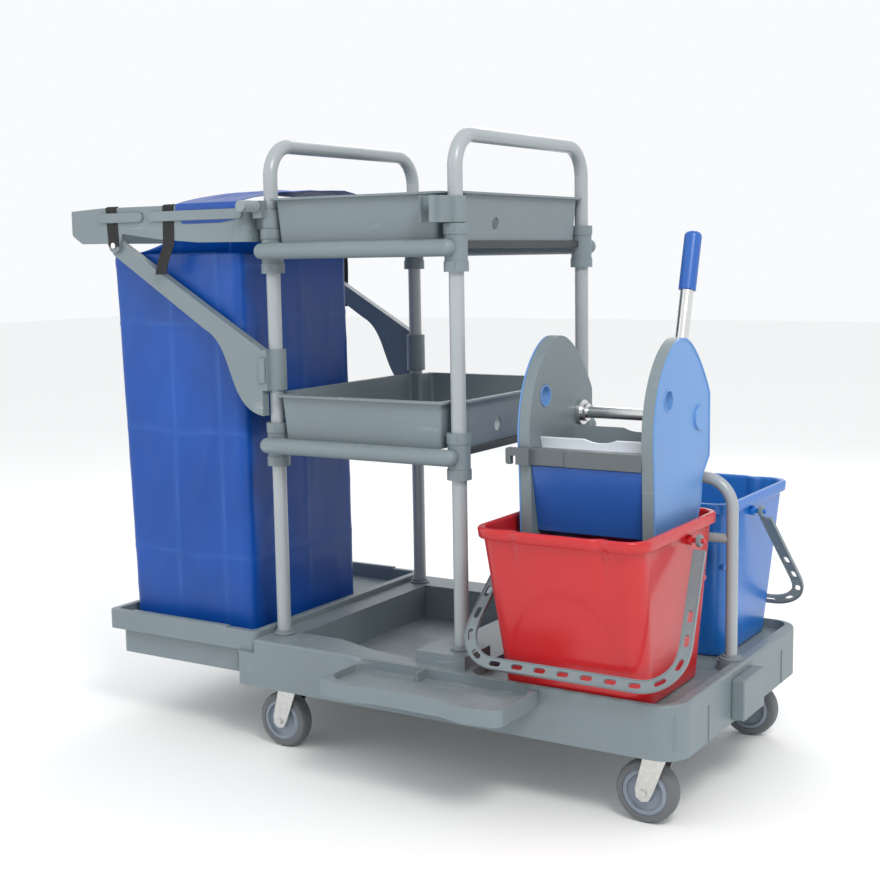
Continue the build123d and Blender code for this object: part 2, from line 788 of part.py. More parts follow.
def make_castor(x, y, tag):
    """One swivel castor: pressed fork with its axle bolt, rubber tyre and moulded wheel."""
    wx = x - castor_trail
    z = wheel_radius
    side = hub_width / 2 + fork_gap
    top = castor_top - plate_thick - 5 - fit_gap
    crown = top - 4
    with BuildPart() as fork:
        upright(x, y, (crown, top), fork_crown_dia)
        for s in (-1, 1):
            inner = y + s * side
            outer = y + s * (side + fork_thick)
            low, high = sorted((inner, outer))
            with BuildSketch(Plane.XZ.offset(-high)):
                with BuildLine():
                    Polyline((x - 24, crown + 2), (x - 25, crown - 12), (wx - 13, z + 8),
                             (wx - 12, z - 6), (wx - 3, z - 13), (wx + 9, z - 11), (wx + 17, z + 4),
                             (x + 12, crown - 14), (x + 14, crown + 2), close=True)
                make_face()
                fillet(vertices().group_by(Axis.Y)[0] + vertices().sort_by(Axis.Y)[1:4], radius=4)
            extrude(amount=high - low)
        block((x - 24, x + 14), (y - side - fork_thick, y + side + fork_thick), (crown, crown + 3))
        # axle bolt with its head and nut
        rod_y(wx, (y - side - fork_thick - 4, y + side + fork_thick + 4), z, axle_dia)
        for s in (-1, 1):
            nut = sorted((y + s * (side + fork_thick), y + s * (side + fork_thick + 4)))
            with Locations((wx, sum(nut) / 2, z)):
                Cylinder(6.5, 4, rotation=(90, 0, 0))
    keep(fork, f"castor_fork_{tag}")
    with BuildPart() as tyre:
        with Locations((wx, y, z)):
            Cylinder(wheel_radius, tyre_width, rotation=(90, 0, 0))
            fillet(tyre.edges().filter_by(GeomType.CIRCLE), radius=5)
            Cylinder(hub_dia / 2, tyre_width + 2, rotation=(90, 0, 0), mode=Mode.SUBTRACT)
    keep(tyre, f"castor_tyre_{tag}")
    with BuildPart() as hub:
        with Locations((wx, y, z)):
            Cylinder(hub_dia / 2, tyre_width - 6, rotation=(90, 0, 0))
            Cylinder(hub_dia / 2 - 4, tyre_width, rotation=(90, 0, 0))
            Cylinder(11, hub_width, rotation=(90, 0, 0))
            Cylinder(axle_dia / 2 + fit_gap / 2, hub_width + 2, rotation=(90, 0, 0),
                     mode=Mode.SUBTRACT)
    keep(hub, f"castor_wheel_{tag}")


def bucket_plan(side, grow, y_front, y_back, half):
    """Centre and size of a bucket's rounded outline; side mirrors it to the back."""
    y0, y1 = sorted((middle_y - side * (middle_y - y_front), middle_y - side * (middle_y - y_back)))
    return (bucket_x, (y0 + y1) / 2), (2 * (half + grow), y1 - y0 + 2 * grow)


def make_bucket(side, name):
    """Moulded bucket with a rim lip, bail pins and ledges; side -1 mirrors it to the back."""
    body_half = bucket_width / 2 - bucket_lip
    low_half = body_half - bucket_side_draft
    top_plan = (bucket_front + bucket_lip, bucket_back - bucket_lip, body_half)
    low_plan = (top_plan[0] + bucket_front_draft, top_plan[1] - bucket_back_draft, low_half)
    pin_y = middle_y - side * (middle_y - bail_y)
    ledge = sorted((middle_y - side * (middle_y - bucket_back + 25),
                    middle_y - side * (middle_y - bucket_back + 170)))
    ledge_top = wringer_bottom - soft_gap
    with BuildPart() as bucket:
        for z, plan in ((bucket_floor, low_plan), (bucket_rim, top_plan)):
            centre, size = bucket_plan(side, 0, *plan)
            with BuildSketch(Plane.XY.offset(z)):
                with Locations(centre):
                    RectangleRounded(*size, bucket_corner - bucket_lip)
        loft(ruled=True)
        centre, size = bucket_plan(side, bucket_lip, *top_plan)
        with BuildSketch(Plane.XY.offset(bucket_rim - bucket_lip_height)):
            with Locations(centre):
                RectangleRounded(*size, bucket_corner)
        extrude(amount=bucket_lip_height)
        fillet(bucket.faces().sort_by(Axis.Z)[-1].edges(), radius=3)
        with BuildPart(mode=Mode.PRIVATE) as hollow:
            for z, plan in ((bucket_floor + bucket_wall, low_plan), (bucket_rim + 1, top_plan)):
                centre, size = bucket_plan(side, -bucket_wall, *plan)
                with BuildSketch(Plane.XY.offset(z)):
                    with Locations(centre):
                        RectangleRounded(*size, bucket_corner - bucket_lip - bucket_wall)
            loft(ruled=True)
        add(hollow.part, mode=Mode.SUBTRACT)
        for s in (-1, 1):
            # boss and pin for the bail
            wall = bucket_x + s * (body_half - 6)
            eye = bucket_x + s * (bail_half_top - bail_thick / 2)
            rod_x(sorted((wall, bucket_x + s * (body_half + 8))), pin_y, bail_z, bail_pin_dia + 8)
            rod_x(sorted((wall, eye + s * (bail_thick + 2))), pin_y, bail_z, bail_pin_dia)
            # ledge that a wringer stands on
            edge = bucket_x + s * (low_half + 4)
            block(sorted((edge, bucket_x + s * (wringer_right - bucket_x - wringer_case))), ledge,
                  (ledge_top - 8, ledge_top))
    keep(bucket, name)


def make_bail(side, name):
    """Slotted carrying bail; it hangs outwards from the pins on the bucket's ends."""
    pin_y = middle_y - side * (middle_y - bail_y)
    down = radians(bail_tilt)
    # local Y of the bail's plane runs from the bar up to the pins
    up = (0, side * cos(down), sin(down))
    normal = Vector(1, 0, 0).cross(Vector(*up))
    plane = Plane(origin=(bucket_x, pin_y, bail_z), x_dir=(1, 0, 0), z_dir=normal)
    bar = -(bail_reach - bail_band / 2)
    shoulder = -0.72 * bail_reach
    with BuildPart() as bail:
        with BuildSketch(plane.offset(-bail_thick / 2)):
            with BuildLine():
                FilletPolyline((-bail_half_top, -8), (-bail_half_bottom, shoulder),
                               (-bail_half_bottom, bar), (bail_half_bottom, bar),
                               (bail_half_bottom, shoulder), (bail_half_top, -8),
                               radius=bail_corner * 0.9)
            trace(line_width=bail_band)
            count = int((bail_half_bottom - bail_corner) // bail_slot_pitch)
            with Locations(*[(i * bail_slot_pitch, bar) for i in range(-count, count + 1)]):
                SlotOverall(bail_slot[0], bail_slot[1], mode=Mode.SUBTRACT)
        extrude(amount=bail_thick)
        for s in (-1, 1):
            x0 = bucket_x + s * (bail_half_top - bail_thick)
            x1 = bucket_x + s * bail_half_top
            rod_x(sorted((x0, x1)), pin_y, bail_z, bail_band)
        for s in (-1, 1):
            x0 = bucket_x + s * (bail_half_top - bail_thick - 12)
            x1 = bucket_x + s * (bail_half_top + 12)
            rod_x(sorted((x0, x1)), pin_y, bail_z, bail_pin_dia + fit_gap, Mode.SUBTRACT)
    keep(bail, name)


def make_divider():
    """Bent tube between the buckets, with its rung and its two foot rings."""
    x0, x1 = divider_x
    y = middle_y
    foot = recess_floor - 22
    with BuildPart() as tube:
        with BuildLine() as path:
            FilletPolyline((x0, y, foot), (x0, y, divider_top), (x1, y, divider_top), (x1, y, foot),
                           radius=divider_bend)
        with BuildSketch(Plane(origin=(x0, y, foot), z_dir=(0, 0, 1))):
            Circle(divider_dia / 2)
        sweep(path=path.line)
        rod_x((x0, x1), y, divider_rung_z, divider_dia - 4)
    keep(tube, "divider_tube")
    with BuildPart() as rings:
        for x in divider_x:
            upright(x, y, (deck_top, deck_top + 4), 40)
            upright(x, y, (deck_top, deck_top + 8), 30)
            upright(x, y, (deck_top - 1, deck_top + 9), divider_dia + fit_gap, Mode.SUBTRACT)
    keep(rings, "divider_flanges")


def case_outline(inset):
    """Edges of a wringer side plate in Y and Z: an arch above a neck that narrows downwards."""
    i = inset
    front = wringer_hole[0] - 51
    shoulder = wringer_top - 93
    low = wringer_bottom + i
    straight = wringer_top - 190
    Line((front + 3 + i, low), (front - 3 + i, straight))
    Spline((front - 3 + i, straight), (front + 5 + i, shoulder),
           (front + 27 + 0.85 * i, wringer_top - 50 - 0.5 * i), (front + 101, wringer_top - i),
           (wringer_back - 22 - 0.8 * i, wringer_top - 65 - 0.6 * i),
           (wringer_back - i, shoulder - 4))
    Polyline((wringer_back - i, shoulder - 4), (wringer_back - i, wringer_top - 200 + 0.4 * i),
             (wringer_neck - i, wringer_top - 232), (wringer_neck - 5 - i, wringer_top - 272),
             (wringer_neck - 26 - i, wringer_top - 312), (wringer_foot - i, low),
             (front + 3 + i, low))


def make_wringer_side(s, name):
    """Hollow grey side plate of the wringer and the blue cover that closes it."""
    outer = wringer_right if s > 0 else wringer_left
    cover_in = outer - s * wringer_cover
    case_in = cover_in - s * wringer_case
    inside = case_in + s * wringer_case_wall
    hole_y, hole_z = wringer_hole
    ring_dia = wringer_hole_dia + 6
    press_y, press_z = press_pivot
    with BuildPart() as case:
        with BuildSketch(Plane.YZ.offset(min(cover_in, case_in))):
            with BuildLine():
                case_outline(0)
            make_face()
        extrude(amount=wringer_case)
        with BuildSketch(Plane.YZ.offset(min(inside, cover_in))):
            with BuildLine():
                case_outline(wringer_case_wall)
            make_face()
        extrude(amount=wringer_case - wringer_case_wall, mode=Mode.SUBTRACT)
        span = sorted((case_in, cover_in))
        rod_x(span, hole_y, hole_z, ring_dia + 8)
        rod_x(span, shaft_y, shaft_z, shaft_dia + 14)
        rod_x(span, press_y, press_z, pivot_dia + 12)
        through = (span[0] - 1, span[1] + 1)
        rod_x(through, hole_y, hole_z, ring_dia + fit_gap, Mode.SUBTRACT)
        rod_x(through, shaft_y, shaft_z, shaft_dia + fit_gap, Mode.SUBTRACT)
        rod_x(through, press_y, press_z, pivot_dia + fit_gap, Mode.SUBTRACT)
    keep(case, f"wringer_{name}_plate")
    with BuildPart() as cover:
        with BuildSketch(Plane.YZ.offset(min(cover_in, outer))):
            with BuildLine():
                case_outline(0)
            make_face()
        extrude(amount=wringer_cover)
        # sunk field inside a narrow raised edge
        field = sorted((outer, outer - s * 1.2))
        with BuildSketch(Plane.YZ.offset(field[0])):
            with BuildLine():
                case_outline(3)
            make_face()
        extrude(amount=1.2, mode=Mode.SUBTRACT)
        rod_x(sorted((outer, case_in - s)), hole_y, hole_z, ring_dia)
        rod_x(sorted((outer + s, case_in - s * 2)), hole_y, hole_z, wringer_hole_dia, Mode.SUBTRACT)
        rod_x(sorted((outer - s * 2, outer + s * 3)), shaft_y, shaft_z, boss_dia)
        fillet(cover.faces().sort_by(Axis.X)[-1 if s > 0 else 0].edges(), radius=2)
    keep(cover, f"wringer_{name}_cover")


def wringer_span():
    """X values of the inner faces of the two side plates."""
    inset = wringer_cover + wringer_case
    return wringer_left + inset, wringer_right - inset


def make_wringer_front():
    """Front bar with its hook, the blue front panel and the fixed jaw behind them."""
    x0, x1 = wringer_span()
    z0, z1 = bar_z
    y0 = bar_front
    with BuildPart() as bar:
        block((x0, x1), (y0, y0 + bar_thick), (z0, z1))
        block((x0, x0 + 60), (y0 - 2, y0), (z0 + 1, z1 - 1))
        # hook that reaches round the front of the left side plate
        hook_y = (y0 - 12, y0 - 2)
        block((x0 - 20, x0 + 4), hook_y, (z0 + 1, z1 + 1))
        block((x0 - 38, x0 - 20), hook_y, (z1 - 12, z1 + 1))
        block((x0 - 38, x0 - 29), hook_y, (z0 + 1, z1 + 1))
        edges = bar.edges().filter_by(Axis.Y).group_by(Axis.X)[0]
        fillet(edges, radius=4)
    keep(bar, "wringer_front_bar")
    a, b = panel_z
    with BuildPart() as panel:
        with BuildSketch(Plane.YZ.offset(x0)):
            with BuildLine():
                Polyline((y0 + 4, b), (y0 + 4 + panel_slope, a), (y0 + 4 + panel_slope + 40, a - 14),
                         (y0 + 4 + panel_slope + 40, a - 14 + panel_thick),
                         (y0 + 4 + panel_slope + panel_thick, a + panel_thick),
                         (y0 + 4 + panel_thick, b), close=True)
            make_face()
        extrude(amount=x1 - x0)
    keep(panel, "wringer_front_panel")
    top_y, top_z = liner_top
    low_y, low_z = liner_bottom
    mid = (x0 + x1) / 2
    with BuildPart() as jaw:
        with BuildSketch(Plane.YZ.offset(x0)):
            with BuildLine():
                Polyline((top_y, top_z), (low_y, low_z), (low_y + jaw_thick, low_z),
                         (top_y + jaw_thick, top_z), close=True)
            make_face()
        extrude(amount=x1 - x0)
        # hollowed hand notch in the top edge
        rod_y(mid + 10, (top_y - 20, top_y + 30), top_z + 62, 136, Mode.SUBTRACT)
        # lug that sits on the front bar
        block((x0, x1), (y0 + bar_thick, top_y + 12), (z1 - 12, z1 - 4))
    keep(jaw, "wringer_fixed_jaw")


def make_wringer_press():
    """Moving jaw: a pierced plate that swings on pins in the side plates."""
    x0, x1 = wringer_span()
    py, pz = press_pivot
    ty, tz = press_top
    lean = Vector(0, ty - py, tz - pz).normalized()
    length = Vector(0, ty - py, tz - pz).length
    a = x0 + jaw_side_gap
    b = x1 - jaw_side_gap
    mid = (a + b) / 2
    # local X runs along the cart and local Y up the plate
    plane = Plane(origin=(mid, py, pz), x_dir=(1, 0, 0), z_dir=Vector(1, 0, 0).cross(lean))
    with BuildPart() as press:
        with BuildSketch(plane.offset(-jaw_thick / 2)):
            with Locations((0, length / 2)):
                Rectangle(b - a, length)
            with Locations((25, length + 62)):
                Circle(68, mode=Mode.SUBTRACT)
            with Locations((0, length / 2 - 4)):
                with GridLocations(22, 26, 8, 5):
                    SlotOverall(16, 6, rotation=90, mode=Mode.SUBTRACT)
        extrude(amount=jaw_thick)
        rod_x((a, b), py, pz, jaw_thick + 8)
        rod_x((x0 - 10, x1 + 10), py, pz, pivot_dia)
    keep(press, "wringer_press_plate")


def make_wringer_lever():
    """Shaft with its hub, and the lever with its grip."""
    x0, x1 = wringer_span()
    tilt = radians(lever_tilt)
    up = Vector(0, sin(tilt), cos(tilt))
    axis = Vector(lever_x, shaft_y, shaft_z)
    with BuildPart() as shaft:
        rod_x((x0 - wringer_case + 4, x1 + wringer_case - 4), shaft_y, shaft_z, shaft_dia)
        rod_x((x0 + 0.5, x0 + 8), shaft_y, shaft_z, shaft_dia + 22)
        rod_x((x0 + 8, x0 + 16), shaft_y, shaft_z, shaft_dia + 10)
        rod_x((lever_x - 14, lever_x + 14), shaft_y, shaft_z, shaft_dia + 20)
        with BuildSketch(Plane(origin=axis + up * 12, z_dir=up)):
            Circle(lever_rod_dia / 2 + 4)
        extrude(amount=30)
        with BuildSketch(Plane(origin=axis + up * 18, z_dir=up)):
            Circle(lever_rod_dia / 2 + fit_gap / 2)
        extrude(amount=40, mode=Mode.SUBTRACT)
    keep(shaft, "wringer_shaft")
    with BuildPart() as rod:
        with BuildSketch(Plane(origin=axis + up * 18, z_dir=up)):
            Circle(lever_rod_dia / 2)
        extrude(amount=lever_length - lever_grip_length - 18 + 40)
    keep(rod, "wringer_lever_rod")
    with BuildPart() as grip:
        with BuildSketch(Plane(origin=axis + up * (lever_length - lever_grip_length), z_dir=up)):
            Circle(lever_grip_dia / 2)
        extrude(amount=lever_grip_length)
        fillet(grip.edges().sort_by(Axis.Z)[-1], radius=9)
        with BuildSketch(Plane(origin=axis + up * (lever_length - lever_grip_length - 1), z_dir=up)):
            Circle(lever_rod_dia / 2 + fit_gap / 2)
        extrude(amount=41, mode=Mode.SUBTRACT)
    keep(grip, "wringer_lever_grip")


def build_all():
    """Make every sub-part, from the floor up."""
    tags = (("front_left", 0, 0), ("back_left", 0, 1), ("front_right", 1, 0), ("back_right", 1, 1))
    make_castor_plates()
    for tag, i, j in tags:
        make_castor(castor_x[i], castor_y[j], tag)
    make_base_deck()
    make_bag_tray()
    make_mop_rest()
    make_end_bumper()
    foot = deck_top - socket_depth + fit_gap
    make_handle_tube(0.0, foot, "left_handle_tube")
    make_handle_tube(post_pitch_x, foot, "right_handle_tube")
    make_foot_flanges()
    for level, height in enumerate(("lower", "upper")):
        make_shelf_rail(level, False, f"{height}_front_rail")
        make_shelf_rail(level, True, f"{height}_back_rail")
        make_tray(level, f"{height}_tray")
    make_side_rails()
    make_mop_clip()
    make_bag_frame()
    make_bag_bands()
    make_ring_clamps()
    make_knob(0.0, -1, "front_knob")
    make_knob(post_pitch_y, 1, "back_knob")
    make_strut(0.0, -1, "front_strut")
    make_strut(post_pitch_y, 1, "back_strut")
    make_strut_latches()
    make_strut_screws()
    make_bag()
    make_bag_cover()
    make_bag_straps()
    make_bucket(1, "red_bucket")
    make_bucket(-1, "blue_bucket")
    make_bail(1, "red_bail")
    make_bail(-1, "blue_bail")
    make_divider()
    make_wringer_side(-1, "left")
    make_wringer_side(1, "right")
    make_wringer_front()
    make_wringer_press()
    make_wringer_lever()


def shift():
    """Move that brings the middle of the finished cart's underside to the origin."""
    boxes = [part.bounding_box() for _, part in finished]
    x = (min(b.min.X for b in boxes) + max(b.max.X for b in boxes)) / 2
    y = (min(b.min.Y for b in boxes) + max(b.max.Y for b in boxes)) / 2
    z = min(b.min.Z for b in boxes)
    return (-x, -y, -z)


def publish():
    """Write one STEP file for each sub-part, in the cart's own frame."""
    os.makedirs("parts", exist_ok=True)
    move = Location(shift())
    for name, part in finished:
        moved = part.moved(move)
        moved.label = name
        export_step(moved, f"parts/{name}.step")
    print("shift", [round(v, 4) for v in shift()], "nodes", len(finished))


build_all()
publish()
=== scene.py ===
import json
import math

import bmesh
import bpy
from mathutils import Matrix, Vector, noise

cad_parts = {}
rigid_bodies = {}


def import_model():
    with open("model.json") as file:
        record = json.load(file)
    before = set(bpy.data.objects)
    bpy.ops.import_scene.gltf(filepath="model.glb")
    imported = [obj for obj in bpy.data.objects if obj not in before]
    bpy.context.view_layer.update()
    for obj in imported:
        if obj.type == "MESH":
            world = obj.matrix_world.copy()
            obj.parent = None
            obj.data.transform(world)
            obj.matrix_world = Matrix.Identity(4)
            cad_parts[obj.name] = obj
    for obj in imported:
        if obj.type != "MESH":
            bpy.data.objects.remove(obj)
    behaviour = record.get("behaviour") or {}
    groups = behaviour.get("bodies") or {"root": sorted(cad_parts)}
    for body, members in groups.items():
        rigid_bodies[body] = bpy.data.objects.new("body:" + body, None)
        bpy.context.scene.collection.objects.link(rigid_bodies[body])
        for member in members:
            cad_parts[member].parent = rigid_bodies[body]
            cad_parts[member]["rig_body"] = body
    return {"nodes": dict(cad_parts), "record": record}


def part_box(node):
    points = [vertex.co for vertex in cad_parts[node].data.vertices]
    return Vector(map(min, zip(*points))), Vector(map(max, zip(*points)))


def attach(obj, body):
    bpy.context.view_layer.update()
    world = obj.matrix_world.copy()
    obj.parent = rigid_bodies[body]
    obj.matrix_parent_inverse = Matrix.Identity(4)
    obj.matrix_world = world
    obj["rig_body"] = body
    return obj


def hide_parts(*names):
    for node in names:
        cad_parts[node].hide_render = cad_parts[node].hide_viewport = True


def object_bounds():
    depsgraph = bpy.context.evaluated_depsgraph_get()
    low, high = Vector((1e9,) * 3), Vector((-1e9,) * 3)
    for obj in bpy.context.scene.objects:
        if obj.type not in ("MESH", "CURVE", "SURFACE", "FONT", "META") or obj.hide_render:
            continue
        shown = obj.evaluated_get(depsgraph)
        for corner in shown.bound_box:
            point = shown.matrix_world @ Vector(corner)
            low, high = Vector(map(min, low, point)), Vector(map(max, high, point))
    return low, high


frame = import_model()
cad_low, cad_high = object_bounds()

# Moulded grey polypropylene, which most of the cart is made of. Its skin has a fine
# spark grain, a slow drift in tone from the moulding, light scuffs, and dust on the
# faces that look upwards.


def put(tree, kind, inputs=None, **settings):
    """Adds a shader node; each input is a value, or the socket that feeds it."""
    node = tree.nodes.new("ShaderNode" + kind)
    for key, value in settings.items():
        setattr(node, key, value)
    for key, value in (inputs or {}).items():
        if isinstance(value, bpy.types.NodeSocket):
            tree.links.new(value, node.inputs[key])
        else:
            node.inputs[key].default_value = value
    return node


def product(tree, value, factor, added=None):
    """A node that multiplies two inputs, and adds a third where one is given."""
    if added is None:
        return put(tree, "Math", {0: value, 1: factor}, operation="MULTIPLY")
    return put(tree, "Math", {0: value, 1: factor, 2: added}, operation="MULTIPLY_ADD")


def open_group(name, inputs, outputs):
    """A shader group with the named inputs (with their defaults) and outputs."""
    group = bpy.data.node_groups.new(name, "ShaderNodeTree")
    kinds = {float: "NodeSocketFloat", tuple: "NodeSocketColor"}
    for label, default in inputs.items():
        made = group.interface.new_socket(label, in_out="INPUT", socket_type=kinds[type(default)])
        made.default_value = default
    for label, kind in outputs.items():
        group.interface.new_socket(label, in_out="OUTPUT", socket_type="NodeSocket" + kind)
    return group, group.nodes.new("NodeGroupInput"), group.nodes.new("NodeGroupOutput")


def tint(tree, colour, factor):
    """The colour made darker or lighter by a factor that varies over the surface."""
    return put(tree, "HueSaturation", {"Color": colour, "Value": factor}).outputs["Color"]


def make_moulded_skin():
    """Group for moulded plastic: tone drift, grain, scuffs and dust."""
    group, given, result = open_group(
        "moulded_skin",
        {"Colour": (0.5, 0.5, 0.5, 1.0), "Roughness": 0.45, "Grain Size": 700.0,
         "Grain Depth": 0.15, "Scuffs": 0.3, "Dust": 0.2},
        {"Colour": "Color", "Roughness": "Float", "Normal": "Vector"})
    place = put(group, "TexCoord").outputs["Object"]
    drift = put(group, "TexNoise", {"Vector": place, "Scale": 4.0, "Detail": 3.0})
    drift = put(group, "MapRange", {"Value": drift.outputs["Fac"], "From Min": 0.3, "From Max": 0.7,
                                    "To Min": 0.94, "To Max": 1.06})
    toned = tint(group, given.outputs["Colour"], drift.outputs["Result"])
    stretch = put(group, "Mapping", {"Vector": place, "Rotation": (0.4, 0.2, 0.7),
                                     "Scale": (14.0, 240.0, 90.0)})
    scratch = put(group, "TexNoise", {"Vector": stretch.outputs["Vector"], "Scale": 1.0, "Detail": 4.0})
    patch = put(group, "TexNoise", {"Vector": place, "Scale": 9.0, "Detail": 2.0})
    scratch = put(group, "MapRange", {"Value": scratch.outputs["Fac"], "From Min": 0.62, "From Max": 0.74})
    patch = put(group, "MapRange", {"Value": patch.outputs["Fac"], "From Min": 0.5, "From Max": 0.68})
    scuff = product(group, scratch.outputs["Result"], patch.outputs["Result"])
    scuff = product(group, scuff.outputs[0], given.outputs["Scuffs"])
    scuffed = put(group, "MixRGB", {"Fac": scuff.outputs[0], "Color1": toned,
                                    "Color2": (0.62, 0.64, 0.65, 1.0)})
    upward = put(group, "SeparateXYZ", {"Vector": put(group, "NewGeometry").outputs["Normal"]})
    speck = put(group, "TexNoise", {"Vector": place, "Scale": 60.0, "Detail": 5.0, "Roughness": 0.65})
    up = put(group, "MapRange", {"Value": upward.outputs["Z"], "From Min": 0.5, "From Max": 1.0})
    speck = put(group, "MapRange", {"Value": speck.outputs["Fac"], "From Min": 0.42, "From Max": 0.7})
    dust = product(group, up.outputs["Result"], speck.outputs["Result"])
    dust = product(group, dust.outputs[0], given.outputs["Dust"])
    dusted = put(group, "MixRGB", {"Fac": dust.outputs[0], "Color1": scuffed.outputs["Color"],
                                   "Color2": (0.42, 0.41, 0.38, 1.0)})
    rough = product(group, drift.outputs["Result"], given.outputs["Roughness"])
    rough = product(group, dust.outputs[0], 0.5, rough.outputs[0])
    rough = product(group, scuff.outputs[0], 0.3, rough.outputs[0])
    grain = put(group, "TexNoise", {"Vector": place, "Scale": given.outputs["Grain Size"], "Detail": 2.0})
    wave = put(group, "TexNoise", {"Vector": place, "Scale": 22.0, "Detail": 1.0})
    height = product(group, wave.outputs["Fac"], 1.6, grain.outputs["Fac"])
    height = product(group, scuff.outputs[0], -1.0, height.outputs[0])
    bump = put(group, "Bump", {"Height": height.outputs[0], "Strength": given.outputs["Grain Depth"],
                               "Distance": 0.0006})
    group.links.new(dusted.outputs["Color"], result.inputs["Colour"])
    group.links.new(rough.outputs[0], result.inputs["Roughness"])
    group.links.new(bump.outputs["Normal"], result.inputs["Normal"])
    return group


moulded_skin = make_moulded_skin()


def finish_with(name, group, colour, inputs, **shader):
    """A material whose shader reads one surface group; constants go on the shader's own sockets."""
    material = bpy.data.materials.new(name)
    material.use_nodes = True
    tree = material.node_tree
    surface = tree.nodes["Principled BSDF"]
    skin = tree.nodes.new("ShaderNodeGroup")
    skin.node_tree = group
    skin.inputs["Colour"].default_value = (*colour, 1.0)
    for key, value in inputs.items():
        skin.inputs[key].default_value = value
    tree.links.new(skin.outputs["Colour"], surface.inputs["Base Color"])
    tree.links.new(skin.outputs["Roughness"], surface.inputs["Roughness"])
    tree.links.new(skin.outputs["Normal"], surface.inputs["Normal"])
    for key, value in shader.items():
        surface.inputs[key.replace("_", " ").title().replace("Ior", "IOR")].default_value = value
    material.diffuse_color = (*colour, 1.0)
    return material


grey_plastic = finish_with("grey_plastic", moulded_skin, (0.175, 0.218, 0.235),
                           {"Roughness": 0.42, "Grain Size": 620.0, "Grain Depth": 0.18, "Scuffs": 0.35,
                            "Dust": 0.25}, specular_ior_level=0.45)
pale_grey_plastic = finish_with("pale_grey_plastic", moulded_skin, (0.235, 0.275, 0.290),
                                {"Roughness": 0.38, "Grain Size": 700.0, "Grain Depth": 0.12, "Scuffs": 0.25,
                                 "Dust": 0.15}, specular_ior_level=0.5)

# Hard pieces whose shape is settled by the design: each is shown by a copy of its own
# mesh with the moulding's small edge radius, which a tool leaves on every real corner.


def clean_copy(node):
    """A mesh of a CAD piece with its doubles merged and its flats joined up."""
    mesh = frame["nodes"][node].data.copy()
    mesh.materials.clear()
    bm = bmesh.new()
    bm.from_mesh(mesh)
    bmesh.ops.remove_doubles(bm, verts=bm.verts, dist=0.00002)
    bmesh.ops.dissolve_limit(bm, angle_limit=math.radians(1.0), verts=bm.verts, edges=bm.edges)
    bm.to_mesh(mesh)
    bm.free()
    return mesh


def show(piece, body, slot, material, *nodes):
    """Puts a finished piece on its body, with its material and the nodes that it stands for."""
    if not piece.data.materials:
        piece.data.materials.append(material)
    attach(piece, body)
    if nodes:
        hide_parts(*nodes)
    return piece


def rounded(node, width, slot, material, segments=2, limit=32.0):
    """A CAD piece shown with its edges rounded to the given width."""
    mesh = clean_copy(node)
    mesh.shade_smooth()
    mesh.set_sharp_from_angle(angle=math.radians(50.0))
    piece = bpy.data.objects.new(node + "_skin", mesh)
    bpy.context.scene.collection.objects.link(piece)
    edge = piece.modifiers.new("edge", "BEVEL")
    edge.limit_method = "ANGLE"
    edge.angle_limit = math.radians(limit)
    edge.width = width
    edge.segments = segments
    edge.use_clamp_overlap = True
    edge.miter_outer = "MITER_ARC"
    flat = piece.modifiers.new("flat", "WEIGHTED_NORMAL")
    flat.keep_sharp = False
    return show(piece, frame["nodes"][node]["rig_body"], slot, material, node)


# The deck, the bag tray, the mop rest and the end bumper are thick mouldings that are
# bolted or clipped together, so their edges have the largest moulded radius.
for node, width in {"base_deck": 0.0016, "bag_tray": 0.0014, "mop_rest": 0.0016,
                    "end_bumper": 0.0020}.items():
    rounded(node, width, "grey_plastic", grey_plastic)

# Rails and trays: each rail is a hollow moulding whose sleeves slide on the posts, and
# the thin-walled trays drop between the rails. The mop clip snaps on the front post.
for node, width in {"lower_front_rail": 0.0008, "lower_back_rail": 0.0008, "upper_front_rail": 0.0008,
                    "upper_back_rail": 0.0008, "lower_tray": 0.0009, "upper_tray": 0.0009,
                    "mop_handle_clip": 0.0010}.items():
    rounded(node, width, "grey_plastic", grey_plastic)

# Ring frame for the bag: one moulded ring with a grip end, its bands and clamps, and two
# struts with soft round edges that latch on the posts.
for node, width in {"bag_frame": 0.0030, "bag_bands": 0.0016, "ring_clamps": 0.0012, "front_strut": 0.0040,
                    "back_strut": 0.0040, "strut_latches": 0.0008}.items():
    rounded(node, width, "grey_plastic", grey_plastic)

# Flanges: small moulded collars that cover the sockets where the tubes enter the deck.
for node in ("foot_flanges", "divider_flanges"):
    rounded(node, 0.0012, "grey_plastic", grey_plastic)

# The two handle tubes and the divider are steel tube with a grey powder coat, which has
# a faint orange-peel skin and a little gloss.
painted_tube = finish_with("painted_tube", moulded_skin, (0.330, 0.365, 0.380),
                           {"Roughness": 0.30, "Grain Size": 260.0, "Grain Depth": 0.10, "Scuffs": 0.12,
                            "Dust": 0.10}, specular_ior_level=0.55, coat_weight=0.15)
for node in ("left_handle_tube", "right_handle_tube", "divider_tube"):
    rounded(node, 0.0006, "painted_tube", painted_tube)

# The rails under the trays' ends are painted near-black, a painted shade for the shadow under the tray; the
# wringer's front bar is a darker moulding.
dark_plastic = finish_with("dark_plastic", moulded_skin, (0.030, 0.034, 0.037),
                           {"Roughness": 0.46, "Grain Size": 650.0, "Grain Depth": 0.2, "Scuffs": 0.25,
                            "Dust": 0.3})
bar_plastic = finish_with("bar_plastic", moulded_skin, (0.105, 0.125, 0.135),
                          {"Roughness": 0.40, "Grain Size": 650.0, "Grain Depth": 0.2, "Scuffs": 0.25,
                           "Dust": 0.2})
# Painted shade: the side rails are near-black to stand for the shadow they sit in under the tray.
rounded("side_rails", 0.0012, "dark_plastic", dark_plastic)
rounded("wringer_front_bar", 0.0015, "dark_plastic", bar_plastic)
